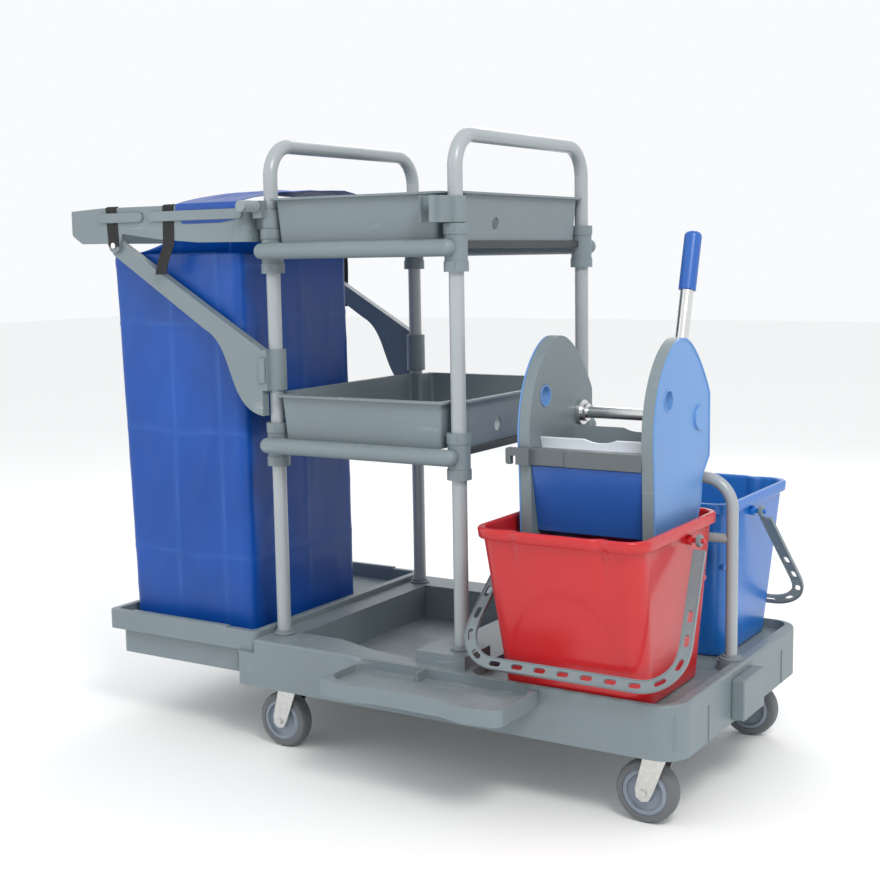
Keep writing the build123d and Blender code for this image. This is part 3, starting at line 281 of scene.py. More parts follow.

# Buckets are high-gloss polypropylene mouldings with a rolled lip, so they show clean
# reflections and a faint flow waviness.
red_gloss = finish_with("red_gloss", moulded_skin, (0.500, 0.013, 0.017),
                        {"Roughness": 0.27, "Grain Size": 500.0, "Grain Depth": 0.03, "Scuffs": 0.0,
                         "Dust": 0.04}, specular_ior_level=0.5, coat_weight=0.10)
blue_gloss = finish_with("blue_gloss", moulded_skin, (0.012, 0.150, 0.520),
                         {"Roughness": 0.27, "Grain Size": 500.0, "Grain Depth": 0.03, "Scuffs": 0.0,
                          "Dust": 0.04}, specular_ior_level=0.5, coat_weight=0.10)
# Each bucket is one gloss moulding: a tapering body with a rolled lip, two pouring dents
# beside a proud spout, a faint arch in the front wall and a scalloped foot. It has bosses
# and pins for its bail, and ledges inside that a wringer stands on.
bucket_rim_half, bucket_lip, bucket_skin, bucket_lip_height = 0.146, 0.008, 0.003, 0.018
bail_pin_back, bail_pin_drop = 0.129, 0.029
bucket_body_corner, side_draft, front_draft, back_draft = 0.030, 0.014, 0.057, 0.029
bucket_columns = 320


def around(t, low, high, corner):
    """The point and the way out at the fraction t round a rounded rectangle, from its front left."""
    wide, deep, arc = high[0] - low[0] - 2 * corner, high[1] - low[1] - 2 * corner, corner * math.pi / 2
    walk = (t % 1.0) * (2 * wide + 2 * deep + 4 * arc)
    turns = ((low[0] + corner, low[1], 1, 0, wide), (high[0], low[1] + corner, 0, 1, deep),
             (high[0] - corner, high[1], -1, 0, wide), (low[0], high[1] - corner, 0, -1, deep))
    for x, y, dx, dy, run in turns:
        if walk <= run:
            return Vector((x + dx * walk, y + dy * walk)), Vector((dy, -dx))
        walk -= run
        if walk <= arc:
            bend = walk / corner
            hub_x, hub_y = x + dx * run - dy * corner, y + dy * run + dx * corner
            ahead, aside = math.sin(bend), math.cos(bend)
            way = Vector((dy * aside + dx * ahead, -dx * aside + dy * ahead))
            return Vector((hub_x, hub_y)) + corner * way, way
        walk -= arc
    return Vector((low[0] + corner, low[1])), Vector((0, -1))


def bucket(name, node, facing, material, slot):
    """A bucket built in the node's box; facing is -1 where its spout looks to the front."""
    low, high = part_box(node)
    centre = (low[0] + high[0]) / 2
    half = bucket_rim_half - bucket_lip
    floor_z, rim = low[2], high[2]
    tall = rim - floor_z
    spout_y, back_y = (low[1], high[1]) if facing < 0 else (high[1], low[1])

    def wall_point(t, z, grow, soften=1.0):
        """A point of the wall at height z, grown outwards, with the spout and the dents."""
        fall = (rim - z) / tall
        mid_half = half - side_draft * fall + grow
        near = spout_y - facing * (bucket_lip + front_draft * fall) + facing * grow
        far = back_y + facing * (bucket_lip + back_draft * fall) - facing * grow
        corner = bucket_body_corner + grow
        ends = sorted((near, far))
        place, way = around(t, (centre - mid_half, ends[0]), (centre + mid_half, ends[1]), corner)
        front = max(0.0, way.y * facing)
        push = 0.0
        if front > 0.6:
            u = (place.x - centre) / half
            bulge = min(1.0, max(0.0, (0.50 - abs(u)) / 0.07)) * max(0.0, 1.0 - fall / 0.42)
            push += 0.0028 * bulge * soften
            for dent in (-0.56, 0.56):
                wide = 0.11 * max(0.0, 1.0 - fall / 0.34)
                if wide > 0.004:
                    push -= 0.0058 * max(0.0, 1.0 - abs(u - dent) / wide) * soften * (1.0 - fall / 0.34)
            arch = (u / 0.80) ** 2 + ((1.0 - fall) / 0.66) ** 2
            push -= 0.0012 * min(1.0, max(0.0, (1.0 - arch) / 0.06))
            if fall > 0.955:
                push -= 0.0012 * abs(math.sin(u * math.pi * 9))
        return place.x + way.x * push, place.y + way.y * push, z

    lip_z = rim - bucket_lip_height
    rings = [(floor_z + 0.0002, -0.0030), (floor_z + 0.0024, -0.0006)]
    rings += [(floor_z + 0.004 + (lip_z - floor_z - 0.006) * k / 34, 0.0) for k in range(35)]
    rings += [(lip_z - 0.0006, 0.0006), (lip_z, 0.0020), (lip_z, bucket_lip - 0.0012)]
    rings += [(lip_z + 0.0012, bucket_lip), (rim - 0.0045, bucket_lip), (rim - 0.0020, bucket_lip - 0.0010),
              (rim - 0.0004, bucket_lip - 0.0030), (rim, 0.0020), (rim - 0.0006, -0.0012),
              (rim - 0.0030, -bucket_skin)]
    rings += [(rim - 0.006 - (rim - floor_z - 0.011) * k / 26, -bucket_skin) for k in range(27)]
    rings += [(floor_z + bucket_skin + 0.0002, -bucket_skin - 0.004)]
    bm = bmesh.new()
    bmesh.ops.create_circle(bm, cap_ends=False, segments=bucket_columns, radius=0.1)
    ring = sorted(bm.verts, key=lambda v: math.atan2(v.co.y, v.co.x))
    edges = list(bm.edges)
    first = list(edges)
    for row, (z, grow) in enumerate(rings):
        if row:
            made = bmesh.ops.extrude_edge_only(bm, edges=edges)["geom"]
            fresh = {item for item in made if isinstance(item, bmesh.types.BMVert)}
            edges = [e for e in made if isinstance(e, bmesh.types.BMEdge)
                     and e.verts[0] in fresh and e.verts[1] in fresh]
            ring = [next(e.other_vert(v) for e in v.link_edges if e.other_vert(v) in fresh) for v in ring]
        for index, vert in enumerate(ring):
            vert.co = wall_point(index / bucket_columns, z, grow)
    bmesh.ops.holes_fill(bm, edges=first + edges, sides=0)
    for side in (-1, 1):
        pin_z = rim - bail_pin_drop
        pin_y = back_y + facing * bail_pin_back
        for radius, reach in ((0.0080, 0.0075), (0.0040, 0.0275)):
            start, end = half - 0.004, half + reach
            rod = bmesh.ops.create_cone(
                bm, cap_ends=True, segments=40, radius1=radius, radius2=radius, depth=end - start,
                matrix=Matrix.Translation((centre + side * (start + end) / 2, pin_y, pin_z))
                @ Matrix.Rotation(math.radians(90.0), 4, "Y"))
            caps = [f for f in {f for v in rod["verts"] for f in v.link_faces} if len(f.verts) > 4]
            bmesh.ops.bevel(bm, geom=[e for f in caps for e in f.edges], offset=0.0008, segments=2,
                            profile=0.5, affect="EDGES", material=-1)
        ledge_low, ledge_high = 0.096, 0.124 + 0.004
        ledge_y = sorted((back_y + facing * 0.025, back_y + facing * 0.170))
        ledge = bmesh.ops.create_cube(bm, size=1.0, matrix=Matrix.Translation(
            (centre + side * (ledge_low + ledge_high) / 2, sum(ledge_y) / 2, wringer_foot_z - 0.0043))
            @ Matrix.Diagonal((ledge_high - ledge_low, ledge_y[1] - ledge_y[0], 0.008, 1.0)))
        bmesh.ops.bevel(bm, geom=list({e for v in ledge["verts"] for e in v.link_edges}), offset=0.0012,
                        segments=2, profile=0.5, affect="EDGES", material=-1)
    bmesh.ops.recalc_face_normals(bm, faces=bm.faces)
    mesh = bpy.data.meshes.new(name)
    bm.to_mesh(mesh)
    bm.free()
    mesh.shade_smooth()
    mesh.set_sharp_from_angle(angle=math.radians(40.0))
    piece = bpy.data.objects.new(name, mesh)
    bpy.context.scene.collection.objects.link(piece)
    return show(piece, node, slot, material, node)


wringer_foot_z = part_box("wringer_left_plate")[0][2]
bucket("red_bucket_moulding", "red_bucket", -1, red_gloss, "red_gloss")
bucket("blue_bucket_moulding", "blue_bucket", 1, blue_gloss, "blue_gloss")

# Each bail is one grey moulding: a flat band with raised edges, pierced by a row of slots
# that goes on round both corners, and an eye at each end that turns on the bucket's pin.
slot_pitch, slot_half, slot_halfwidth = 0.040, 0.0100, 0.0045
bail_half, bail_arm_top, bail_bar, bail_bend = 0.182, 0.160, 0.254, 0.0585
bail_tilt = math.radians(50.0)


def bail_line(s):
    """The band's middle line, in its own plane, at s from the middle of the bar, and its side way."""
    side = 1.0 if s >= 0 else -1.0
    s = abs(s)
    bar_half, arc = bail_half - bail_bend, bail_bend * math.pi / 2
    if s <= bar_half:
        return Vector((side * s, -bail_bar)), Vector((0.0, 1.0))
    if s <= bar_half + arc:
        turn = (s - bar_half) / bail_bend
        return (Vector((side * (bar_half + bail_bend * math.sin(turn)),
                        -bail_bar + bail_bend * (1 - math.cos(turn)))),
                Vector((-side * math.sin(turn), math.cos(turn))))
    up = s - bar_half - arc
    rise, straight = bail_bar - bail_bend - 0.008, 0.012
    lean = max(0.0, up - straight) / (rise - straight) * (bail_half - bail_arm_top)
    return Vector((side * (bail_half - lean), -bail_bar + bail_bend + up)), Vector((-side, 0.0))


def bail(name, node, body, facing):
    """A bail that hangs towards facing from the pins of its bucket."""
    low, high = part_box(body)
    centre, rim = (low[0] + high[0]) / 2, high[2]
    pin = Vector((centre, (high[1] if facing < 0 else low[1]) + facing * bail_pin_back,
                  rim - bail_pin_drop))
    across_way = Vector((1.0, 0.0, 0.0))
    up_way = Vector((0.0, -facing * math.cos(bail_tilt), math.sin(bail_tilt)))
    proud_way = across_way.cross(up_way)
    steps = (-0.0100, -0.0085, -0.0060, -0.0030, 0.0, 0.0030, 0.0060, 0.0085, 0.0100, 0.0125, 0.0150, 0.0175,
             0.0200, 0.0225, 0.0250, 0.0275)
    ends = {0.0100: 0.0020, 0.0085: 0.0036}
    stations = [(k * slot_pitch + step, k, step) for k in range(-10, 11) for step in steps]
    top = bail_half - bail_bend + bail_bend * math.pi / 2 + bail_bar - bail_bend - 0.014
    stations = [item for item in stations if abs(item[0]) < top]
    bm = bmesh.new()
    loop, edges, slots_open = [], [], {}
    for number, (s, k, step) in enumerate(stations):
        hole = ends.get(abs(step), slot_halfwidth) if abs(step) <= slot_half else slot_halfwidth
        place, inward = bail_line(s)
        half_loop = [(-0.0100, 0.0030), (-0.0096, 0.0035), (-0.0086, 0.0035), (-0.0080, 0.0022),
                     (-hole, 0.0022), (hole, 0.0022), (0.0080, 0.0022), (0.0086, 0.0035),
                     (0.0096, 0.0035), (0.0100, 0.0030)]
        profile = half_loop + [(w, -h) for w, h in reversed(half_loop)]
        if number == 0:
            loop = [bm.verts.new() for _ in profile]
            edges = [bm.edges.new(pair) for pair in zip(loop, loop[1:] + loop[:1])]
        else:
            made = bmesh.ops.extrude_edge_only(bm, edges=edges)["geom"]
            fresh = {item for item in made if isinstance(item, bmesh.types.BMVert)}
            edges = [e for e in made if isinstance(e, bmesh.types.BMEdge)
                     and e.verts[0] in fresh and e.verts[1] in fresh]
            last = loop
            loop = [next(e.other_vert(v) for e in v.link_edges if e.other_vert(v) in fresh) for v in last]
            if abs(k) <= 7 and -slot_half < step <= slot_half:
                for a, b in ((4, 5), (14, 15)):
                    quad = next(f for f in loop[a].link_faces if loop[b] in f.verts and last[a] in f.verts)
                    slots_open.setdefault(k, []).append(quad)
        for vert, (w, h) in zip(loop, profile):
            flat = place + inward * w
            vert.co = pin + across_way * flat.x + up_way * flat.y + proud_way * h
    for faces in slots_open.values():
        rims = [e for f in faces for e in f.edges if not all(n in faces for n in e.link_faces)]
        bmesh.ops.delete(bm, geom=faces, context="FACES")
        bmesh.ops.bridge_loops(bm, edges=rims)
    bmesh.ops.holes_fill(bm, edges=[e for e in bm.edges if e.is_boundary], sides=0)
    for side in (-1, 1):
        inner, outer = centre + side * (bail_arm_top - 0.007), centre + side * bail_arm_top
        eye = [(inner, 0.0042), (inner, 0.0092), (inner + side * 0.0008, 0.0100),
               (outer - side * 0.0008, 0.0100), (outer, 0.0092), (outer, 0.0042)]
        verts = [bm.verts.new((x, pin.y + radius, pin.z)) for x, radius in eye]
        ring = [bm.edges.new(pair) for pair in zip(verts, verts[1:] + verts[:1])]
        bmesh.ops.spin(bm, geom=verts + ring, cent=pin, axis=(1.0, 0.0, 0.0), dvec=(0.0, 0.0, 0.0),
                       angle=math.tau, steps=48, use_merge=True, use_duplicate=False)
    bmesh.ops.remove_doubles(bm, verts=bm.verts, dist=0.000005)
    bmesh.ops.recalc_face_normals(bm, faces=bm.faces)
    mesh = bpy.data.meshes.new(name)
    bm.to_mesh(mesh)
    bm.free()
    mesh.shade_smooth()
    mesh.set_sharp_from_angle(angle=math.radians(35.0))
    piece = bpy.data.objects.new(name, mesh)
    bpy.context.scene.collection.objects.link(piece)
    return show(piece, node, "grey_plastic", grey_plastic, node)


bail("red_bail_moulding", "red_bail", "red_bucket", -1)
bail("blue_bail_moulding", "blue_bail", "blue_bucket", 1)

# The wringer is a frame of two grey plates with a slanted deep-blue panel, a pale liner
# and jaw that squeeze the mop, and a light-blue cover over the lever's shaft.
light_blue_plastic = finish_with("light_blue_plastic", moulded_skin, (0.115, 0.265, 0.550),
                                 {"Roughness": 0.34, "Grain Size": 600.0, "Grain Depth": 0.12,
                                  "Scuffs": 0.15, "Dust": 0.1}, specular_ior_level=0.5)
deep_blue_plastic = finish_with("deep_blue_plastic", moulded_skin, (0.020, 0.105, 0.400),
                                {"Roughness": 0.28, "Grain Size": 600.0, "Grain Depth": 0.08,
                                 "Scuffs": 0.12, "Dust": 0.08}, specular_ior_level=0.5)
pale_plastic = finish_with("pale_plastic", moulded_skin, (0.680, 0.720, 0.760),
                           {"Roughness": 0.38, "Grain Size": 600.0, "Grain Depth": 0.12, "Scuffs": 0.1,
                            "Dust": 0.1}, specular_ior_level=0.5)
wringer_look = {"light_blue_plastic": light_blue_plastic, "deep_blue_plastic": deep_blue_plastic,
                "pale_plastic": pale_plastic, "grey_plastic": grey_plastic}
slots = {part["node"]: part["material_slot"] for part in frame["record"]["subparts"]}
for node in sorted(slots):
    wringer_part = node.startswith(("wringer", "lever", "jaw", "press", "liner", "fixed", "panel"))
    if slots[node] in wringer_look and wringer_part:
        rounded(node, 0.0014, slots[node], wringer_look[slots[node]])


# Zinc-plated and bright steel: the castors' forks and plates, screws and shafts. The
# plate has a soft spangle, a slow change of tone and a fine brushed direction.
def make_plated_metal():
    """Group for plated steel: spangle tones and brushed roughness."""
    group, given, result = open_group(
        "plated_metal", {"Colour": (0.6, 0.6, 0.6, 1.0), "Roughness": 0.3, "Spangle": 0.12},
        {"Colour": "Color", "Roughness": "Float", "Normal": "Vector"})
    place = put(group, "TexCoord").outputs["Object"]
    spangle = put(group, "TexVoronoi", {"Vector": place, "Scale": 220.0})
    tone = put(group, "MapRange", {"Value": spangle.outputs["Color"], "To Min": -0.5, "To Max": 0.5})
    tone = product(group, tone.outputs["Result"], given.outputs["Spangle"], 1.0)
    drift = put(group, "TexNoise", {"Vector": place, "Scale": 30.0, "Detail": 4.0})
    dull = put(group, "MapRange", {"Value": drift.outputs["Fac"], "From Min": 0.3, "From Max": 0.7,
                                   "To Min": 0.8, "To Max": 1.35})
    rough = product(group, dull.outputs["Result"], given.outputs["Roughness"])
    brushed = put(group, "Mapping", {"Vector": place, "Scale": (60.0, 60.0, 1600.0)})
    brushed = put(group, "TexNoise", {"Vector": brushed.outputs["Vector"], "Scale": 1.0, "Detail": 3.0})
    bump = put(group, "Bump", {"Height": brushed.outputs["Fac"], "Strength": 0.12, "Distance": 0.0003})
    group.links.new(tint(group, given.outputs["Colour"], tone.outputs[0]), result.inputs["Colour"])
    group.links.new(rough.outputs[0], result.inputs["Roughness"])
    group.links.new(bump.outputs["Normal"], result.inputs["Normal"])
    return group


plated_metal = make_plated_metal()
zinc = finish_with("zinc", plated_metal, (0.62, 0.62, 0.60),
                   {"Roughness": 0.30, "Spangle": 0.18}, metallic=1.0)
bright_metal = finish_with("bright_metal", plated_metal, (0.74, 0.74, 0.73),
                           {"Roughness": 0.20, "Spangle": 0.05}, metallic=1.0)
for node in sorted(slots):
    if slots[node] in ("zinc", "bright_metal"):
        rounded(node, 0.0005, slots[node], zinc if slots[node] == "zinc" else bright_metal)

# Castor wheels: a grey rubber tyre on a blue-grey hub. The tyre is turned with rounded
# shoulders and a scuffed tread, and the hub has a raised ring, a dished web and a boss.
rubber = finish_with("tyre_grey", moulded_skin, (0.120, 0.128, 0.136),
                     {"Roughness": 0.62, "Grain Size": 420.0, "Grain Depth": 0.35, "Scuffs": 0.3,
                      "Dust": 0.5})
hub_plastic = finish_with("hub_blue_grey", moulded_skin, (0.200, 0.240, 0.290),
                          {"Roughness": 0.45, "Grain Size": 600.0, "Grain Depth": 0.15, "Scuffs": 0.2,
                           "Dust": 0.25})


def turned(name, centre, profile, steps=96):
    """A ring turned about the wheel's axle (Y) from a closed profile of (radius, along)."""
    bm = bmesh.new()
    points = [bm.verts.new((centre.x + radius, centre.y + along, centre.z)) for radius, along in profile]
    edges = [bm.edges.new((a, b)) for a, b in zip(points, points[1:] + points[:1])]
    bmesh.ops.spin(bm, geom=points + edges, cent=centre, axis=(0.0, 1.0, 0.0), dvec=(0.0, 0.0, 0.0),
                   angle=math.tau, steps=steps, use_merge=True, use_duplicate=False)
    bmesh.ops.remove_doubles(bm, verts=bm.verts, dist=0.000005)
    bmesh.ops.recalc_face_normals(bm, faces=bm.faces)
    mesh = bpy.data.meshes.new(name)
    bm.to_mesh(mesh)
    bm.free()
    mesh.shade_smooth()
    mesh.set_sharp_from_angle(angle=math.radians(28.0))
    piece = bpy.data.objects.new(name, mesh)
    bpy.context.scene.collection.objects.link(piece)
    return piece


for corner in ("front_left", "front_right", "back_left", "back_right"):
    low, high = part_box("castor_tyre_" + corner)
    axle = (Vector(low) + Vector(high)) / 2
    outer, half = (high[0] - low[0]) / 2, (high[1] - low[1]) / 2
    hub_low, hub_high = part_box("castor_wheel_" + corner)
    seat, hub_half = (hub_high[0] - hub_low[0]) / 2, (hub_high[1] - hub_low[1]) / 2
    side = [(seat + 0.0002, half), (seat + 0.0030, half), (outer - 0.0062, half - 0.0004),
            (outer - 0.0030, half - 0.0018), (outer - 0.0008, half - 0.0048), (outer, half - 0.0085)]
    tyre = turned("tyre_" + corner, axle, side + [(r, -a) for r, a in reversed(side)])
    show(tyre, "wheel_" + corner, "tyre_grey", rubber, "castor_tyre_" + corner)
    side = [(0.0052, hub_half), (0.0120, hub_half), (0.0128, hub_half - 0.0010), (0.0150, hub_half - 0.0070),
            (0.0250, hub_half - 0.0078), (seat - 0.0085, hub_half - 0.0070),
            (seat - 0.0070, hub_half - 0.0012),
            (seat - 0.0055, hub_half - 0.0006), (seat - 0.0010, hub_half - 0.0022), (seat, hub_half - 0.0032)]
    hub = turned("hub_" + corner, axle, side + [(r, -a) for r, a in reversed(side)])
    show(hub, "wheel_" + corner, "hub_blue_grey", hub_plastic, "castor_wheel_" + corner)


# Refuse bag: blue coated cloth cut and welded as a square bag. It hangs open below the
# ring, stands in the bag tray, and keeps the creases that it was folded and packed with.
def make_coated_cloth():
    """Group for coated cloth: a fine weave under the film, crumpling, and a painted sheen along the creases.
    """
    group, given, result = open_group(
        "coated_cloth",
        {"Colour": (0.0, 0.05, 0.3, 1.0), "Roughness": 0.4, "Threads": 2600.0, "Crumple": 0.5},
        {"Colour": "Color", "Roughness": "Float", "Normal": "Vector"})
    place = put(group, "TexCoord").outputs["Object"]
    axes = put(group, "SeparateXYZ", {"Vector": place})
    round_way = put(group, "Math", {0: axes.outputs["X"], 1: axes.outputs["Y"]}, operation="ADD")
    threads = []
    for line in (round_way.outputs[0], axes.outputs["Z"]):
        angle = product(group, line, given.outputs["Threads"])
        threads.append(put(group, "Math", {0: angle.outputs[0]}, operation="SINE").outputs[0])
    weave = product(group, threads[0], threads[1])
    crumple = put(group, "TexNoise", {"Vector": place, "Scale": 16.0, "Detail": 4.0, "Distortion": 0.8})
    folded = put(group, "Attribute", attribute_name="crease")
    tone = put(group, "TexNoise", {"Vector": place, "Scale": 7.0, "Detail": 4.0})
    tone = put(group, "MapRange", {"Value": tone.outputs["Fac"], "From Min": 0.3, "From Max": 0.7,
                                   "To Min": 0.86, "To Max": 1.14})
    toned = tint(group, given.outputs["Colour"], tone.outputs["Result"])
    # Painted sheen: the crease value mixes the cloth towards a paler, brighter blue, a painted highlight on
    # the fold ridges; it also roughens them a little.
    pale = product(group, folded.outputs["Fac"], 0.34)
    crease_sheen_colour = put(group, "MixRGB", {"Fac": pale.outputs[0], "Color1": toned,
                                    "Color2": (0.05, 0.16, 0.50, 1.0)})
    rough = product(group, tone.outputs["Result"], given.outputs["Roughness"])
    rough = product(group, folded.outputs["Fac"], 0.12, rough.outputs[0])
    height = product(group, crumple.outputs["Fac"], given.outputs["Crumple"])
    height = product(group, weave.outputs[0], 0.012, height.outputs[0])
    bump = put(group, "Bump", {"Height": height.outputs[0], "Strength": 0.40, "Distance": 0.004})
    group.links.new(crease_sheen_colour.outputs["Color"], result.inputs["Colour"])
    group.links.new(rough.outputs[0], result.inputs["Roughness"])
    group.links.new(bump.outputs["Normal"], result.inputs["Normal"])
    return group


coated_cloth = make_coated_cloth()
bag_cloth = finish_with("bag_cloth", coated_cloth, (0.000, 0.060, 0.320),
                        {"Roughness": 0.36, "Threads": 2600.0, "Crumple": 0.4},
                        specular_ior_level=0.38)


bag_low, bag_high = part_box("bag")
bag_flare, bag_corner, bag_columns, bag_rows = 0.025, 0.018, 232, 128
# The cloth is cut higher at the back and the sides, where it goes up inside the ring.
bag_back_lift, ring_mouth_left = 0.062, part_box("bag_frame")[0][0] + 0.088
creases_x = (bag_high[0] - 0.170, bag_high[0] - 0.058)
creases_y = (bag_low[1] + 0.178,)
creases_z = (0.330, 0.560, 0.760)


def packed_fold(place, way, height):
    """How far the cloth stands out at a point, and how sharp the crease is there."""
    flat_x = abs(way.x) < 0.5
    lines = creases_x if flat_x else creases_y
    along = place.x if flat_x else place.y
    near = min(abs(along - line) for line in lines)
    near_z = min(abs(height - line + 0.006 * noise.noise((along * 9, height * 2, 3.0))) for line in creases_z)
    sharp = max(math.exp(-near / 0.0028), 0.8 * math.exp(-near_z / 0.0026))
    slack = noise.noise((place.x * 6.5, place.y * 6.5, height * 4.5))
    wrinkle = 1.0 - abs(noise.noise((place.x * 15 + 4, place.y * 15, height * 8.0 + 0.6 * along)))
    out = 0.0014 * sharp + 0.0026 * slack + 0.0014 * (wrinkle ** 3 - 0.6) - 0.0014
    return max(-0.011, min(0.0022, out)), sharp


bm = bmesh.new()
crease_layer = bm.verts.layers.float.new("crease")
bmesh.ops.create_circle(bm, cap_ends=False, segments=bag_columns, radius=0.1)
bm.verts.ensure_lookup_table()
ring = sorted(bm.verts, key=lambda v: math.atan2(v.co.y, v.co.x))
loop_edges = list(bm.edges)
for row in range(bag_rows + 1):
    if row:
        made = bmesh.ops.extrude_edge_only(bm, edges=loop_edges)["geom"]
        loop_edges = [item for item in made if isinstance(item, bmesh.types.BMEdge)]
        fresh = {item for item in made if isinstance(item, bmesh.types.BMVert)}
        ring = [next(e.other_vert(v) for e in v.link_edges if e.other_vert(v) in fresh) for v in ring]
        loop_edges = [e for e in loop_edges if e.verts[0] in fresh and e.verts[1] in fresh]
    rise = row / bag_rows
    height = bag_low[2] + 0.0015 + (bag_high[2] - bag_low[2] - 0.0015) * rise
    lean = bag_flare * (1.0 - rise)
    low = (bag_low[0] + lean + 0.0005, bag_low[1] + 0.0005)
    high = (bag_high[0] - 0.0005, bag_high[1] - 0.0005)
    for index, vert in enumerate(ring):
        place, way = around(index / bag_columns, low, high, bag_corner)
        out, sharp = packed_fold(place, way, height)
        hem = 0.0007 if height > bag_high[2] - 0.022 else 0.0
        calm = min(1.0, rise * 9.0)
        behind = min(1.0, max(0.0, (place.y - bag_low[1] - 0.03) / (bag_high[1] - bag_low[1] - 0.06)))
        lift = bag_back_lift * behind * behind * (3.0 - 2.0 * behind) * max(0.0, (rise - 0.8) / 0.2)
        spot = place + way * (out * calm + hem)
        tuck = min(1.0, max(0.0, (height + lift - bag_high[2] + 0.012) / 0.016))
        spot.x = max(spot.x, spot.x * (1 - tuck) + ring_mouth_left * tuck)
        vert.co = (*spot, height + lift)
        # The crease value stored here is painted by the cloth material as a paler sheen on the fold ridges.
        vert[crease_layer] = sharp * calm
        if row == 0:
            vert.co.z = bag_low[2] + 0.0015
bottom = [e for e in bm.edges if e.is_boundary and e.verts[0].co.z < bag_low[2] + 0.01]
bmesh.ops.holes_fill(bm, edges=bottom, sides=0)
bmesh.ops.recalc_face_normals(bm, faces=bm.faces)
mesh = bpy.data.meshes.new("refuse_bag")
bm.to_mesh(mesh)
bm.free()
mesh.shade_smooth()
bag = bpy.data.objects.new("refuse_bag", mesh)
bpy.context.scene.collection.objects.link(bag)
cloth_wall = bag.modifiers.new("cloth", "SOLIDIFY")
cloth_wall.thickness = 0.0010
cloth_wall.offset = -1.0
show(bag, "root", "bag_cloth", bag_cloth, "bag")

# Cover cloth: a flap of the same coated cloth that is thrown over the bucket-side half of
# the ring. It tents a little over the mouth and hangs over the front arm behind its band.
cover_low, cover_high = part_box("bag_cover")
frame_low, frame_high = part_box("bag_frame")
cover_rest = frame_high[2] + 0.0006
flap_drop = 0.034


def cover_path(t):
    """Y and Z of the cover cloth at t from the front flap's hem (0) to the back hem (1)."""
    front, back = frame_low[1] - 0.0007, frame_high[1] + 0.0007
    run = back - front
    total = run + 2 * flap_drop
    walk = t * total
    if walk < flap_drop:
        return front, cover_rest - flap_drop + walk
    if walk > total - flap_drop:
        return back, cover_rest - (walk - (total - flap_drop))
    span = (walk - flap_drop) / run
    return front + span * run, cover_rest + 0.030 * math.sin(math.pi * span) ** 0.8 * (1 - 0.25 * span)


bm = bmesh.new()
bmesh.ops.create_grid(bm, x_segments=64, y_segments=200, size=0.5)
cover_crease = bm.verts.layers.float.new("crease")
for vert in bm.verts:
    s, t = vert.co.x + 0.5, vert.co.y + 0.5
    y, z = cover_path(t)
    x = cover_low[0] + s * (cover_high[0] - cover_low[0])
    over = min(1.0, max(0.0, (y - frame_low[1] - 0.012) / 0.05), max(0.0, (frame_high[1] - 0.012 - y) / 0.05))
    ripple = noise.noise((x * 14, y * 7, 1.0))
    pleat = 1.0 - abs(noise.noise((x * 22 + 3, y * 9, 5.0)))
    z += over * (0.004 * ripple + 0.003 * (pleat ** 3 - 0.5))
    if over == 0.0 and z < cover_rest - 0.001:
        corner_cut = max(0.0, 0.016 - (x - cover_low[0])) * 0.9 + 0.006 * max(0.0, s - 0.7) / 0.3
        z += corner_cut * (cover_rest - z) / flap_drop
    vert.co = (x, y, z)
    # The cover's pleat ridges get the crease value, which the cloth material paints as a paler sheen.
    vert[cover_crease] = over * max(0.0, pleat - 0.92) / 0.08
bmesh.ops.recalc_face_normals(bm, faces=bm.faces)
mesh = bpy.data.meshes.new("cover_cloth")
bm.to_mesh(mesh)
bm.free()
mesh.shade_smooth()
cover = bpy.data.objects.new("cover_cloth", mesh)
bpy.context.scene.collection.objects.link(cover)
cloth_wall = cover.modifiers.new("cloth", "SOLIDIFY")
cloth_wall.thickness = 0.0010
cloth_wall.offset = 0.0
show(cover, "root", "bag_cloth", bag_cloth, "bag_cover")


# Straps: black polypropylene webbing with a ribbed twill face. Each goes round an arm of
# the ring, and the middle one in front leaves its cut end hanging over the bag.
def make_webbing():
    """Group for webbing: diagonal twill ribs with paler worn threads."""
    group, given, result = open_group(
        "webbing", {"Colour": (0.01, 0.01, 0.011, 1.0), "Roughness": 0.75, "Ribs": 2400.0},
        {"Colour": "Color", "Roughness": "Float", "Normal": "Vector"})
    place = put(group, "TexCoord").outputs["Object"]
    axes = put(group, "SeparateXYZ", {"Vector": place})
    lengthways = put(group, "Math", {0: axes.outputs["Z"], 1: axes.outputs["Y"]}, operation="ADD")
    slant = product(group, axes.outputs["X"], 0.8, lengthways.outputs[0])
    ribs = product(group, slant.outputs[0], given.outputs["Ribs"])
    ribs = put(group, "Math", {0: ribs.outputs[0]}, operation="SINE")
    columns = product(group, axes.outputs["X"], given.outputs["Ribs"])
    columns = put(group, "Math", {0: columns.outputs[0]}, operation="SINE")
    weave = product(group, ribs.outputs[0], columns.outputs[0])
    worn = put(group, "TexNoise", {"Vector": place, "Scale": 90.0, "Detail": 4.0})
    worn = put(group, "MapRange", {"Value": worn.outputs["Fac"], "From Min": 0.3, "From Max": 0.75,
                                   "To Min": 0.8, "To Max": 2.2})
    bump = put(group, "Bump", {"Height": weave.outputs[0], "Strength": 0.6, "Distance": 0.0006})
    rough = product(group, worn.outputs["Result"], 0.06, given.outputs["Roughness"])
    group.links.new(tint(group, given.outputs["Colour"], worn.outputs["Result"]), result.inputs["Colour"])
    group.links.new(rough.outputs[0], result.inputs["Roughness"])
    group.links.new(bump.outputs["Normal"], result.inputs["Normal"])
    return group


webbing = make_webbing()
black_webbing = finish_with("black_webbing", webbing, (0.011, 0.011, 0.012),
                            {"Roughness": 0.7, "Ribs": 2400.0})


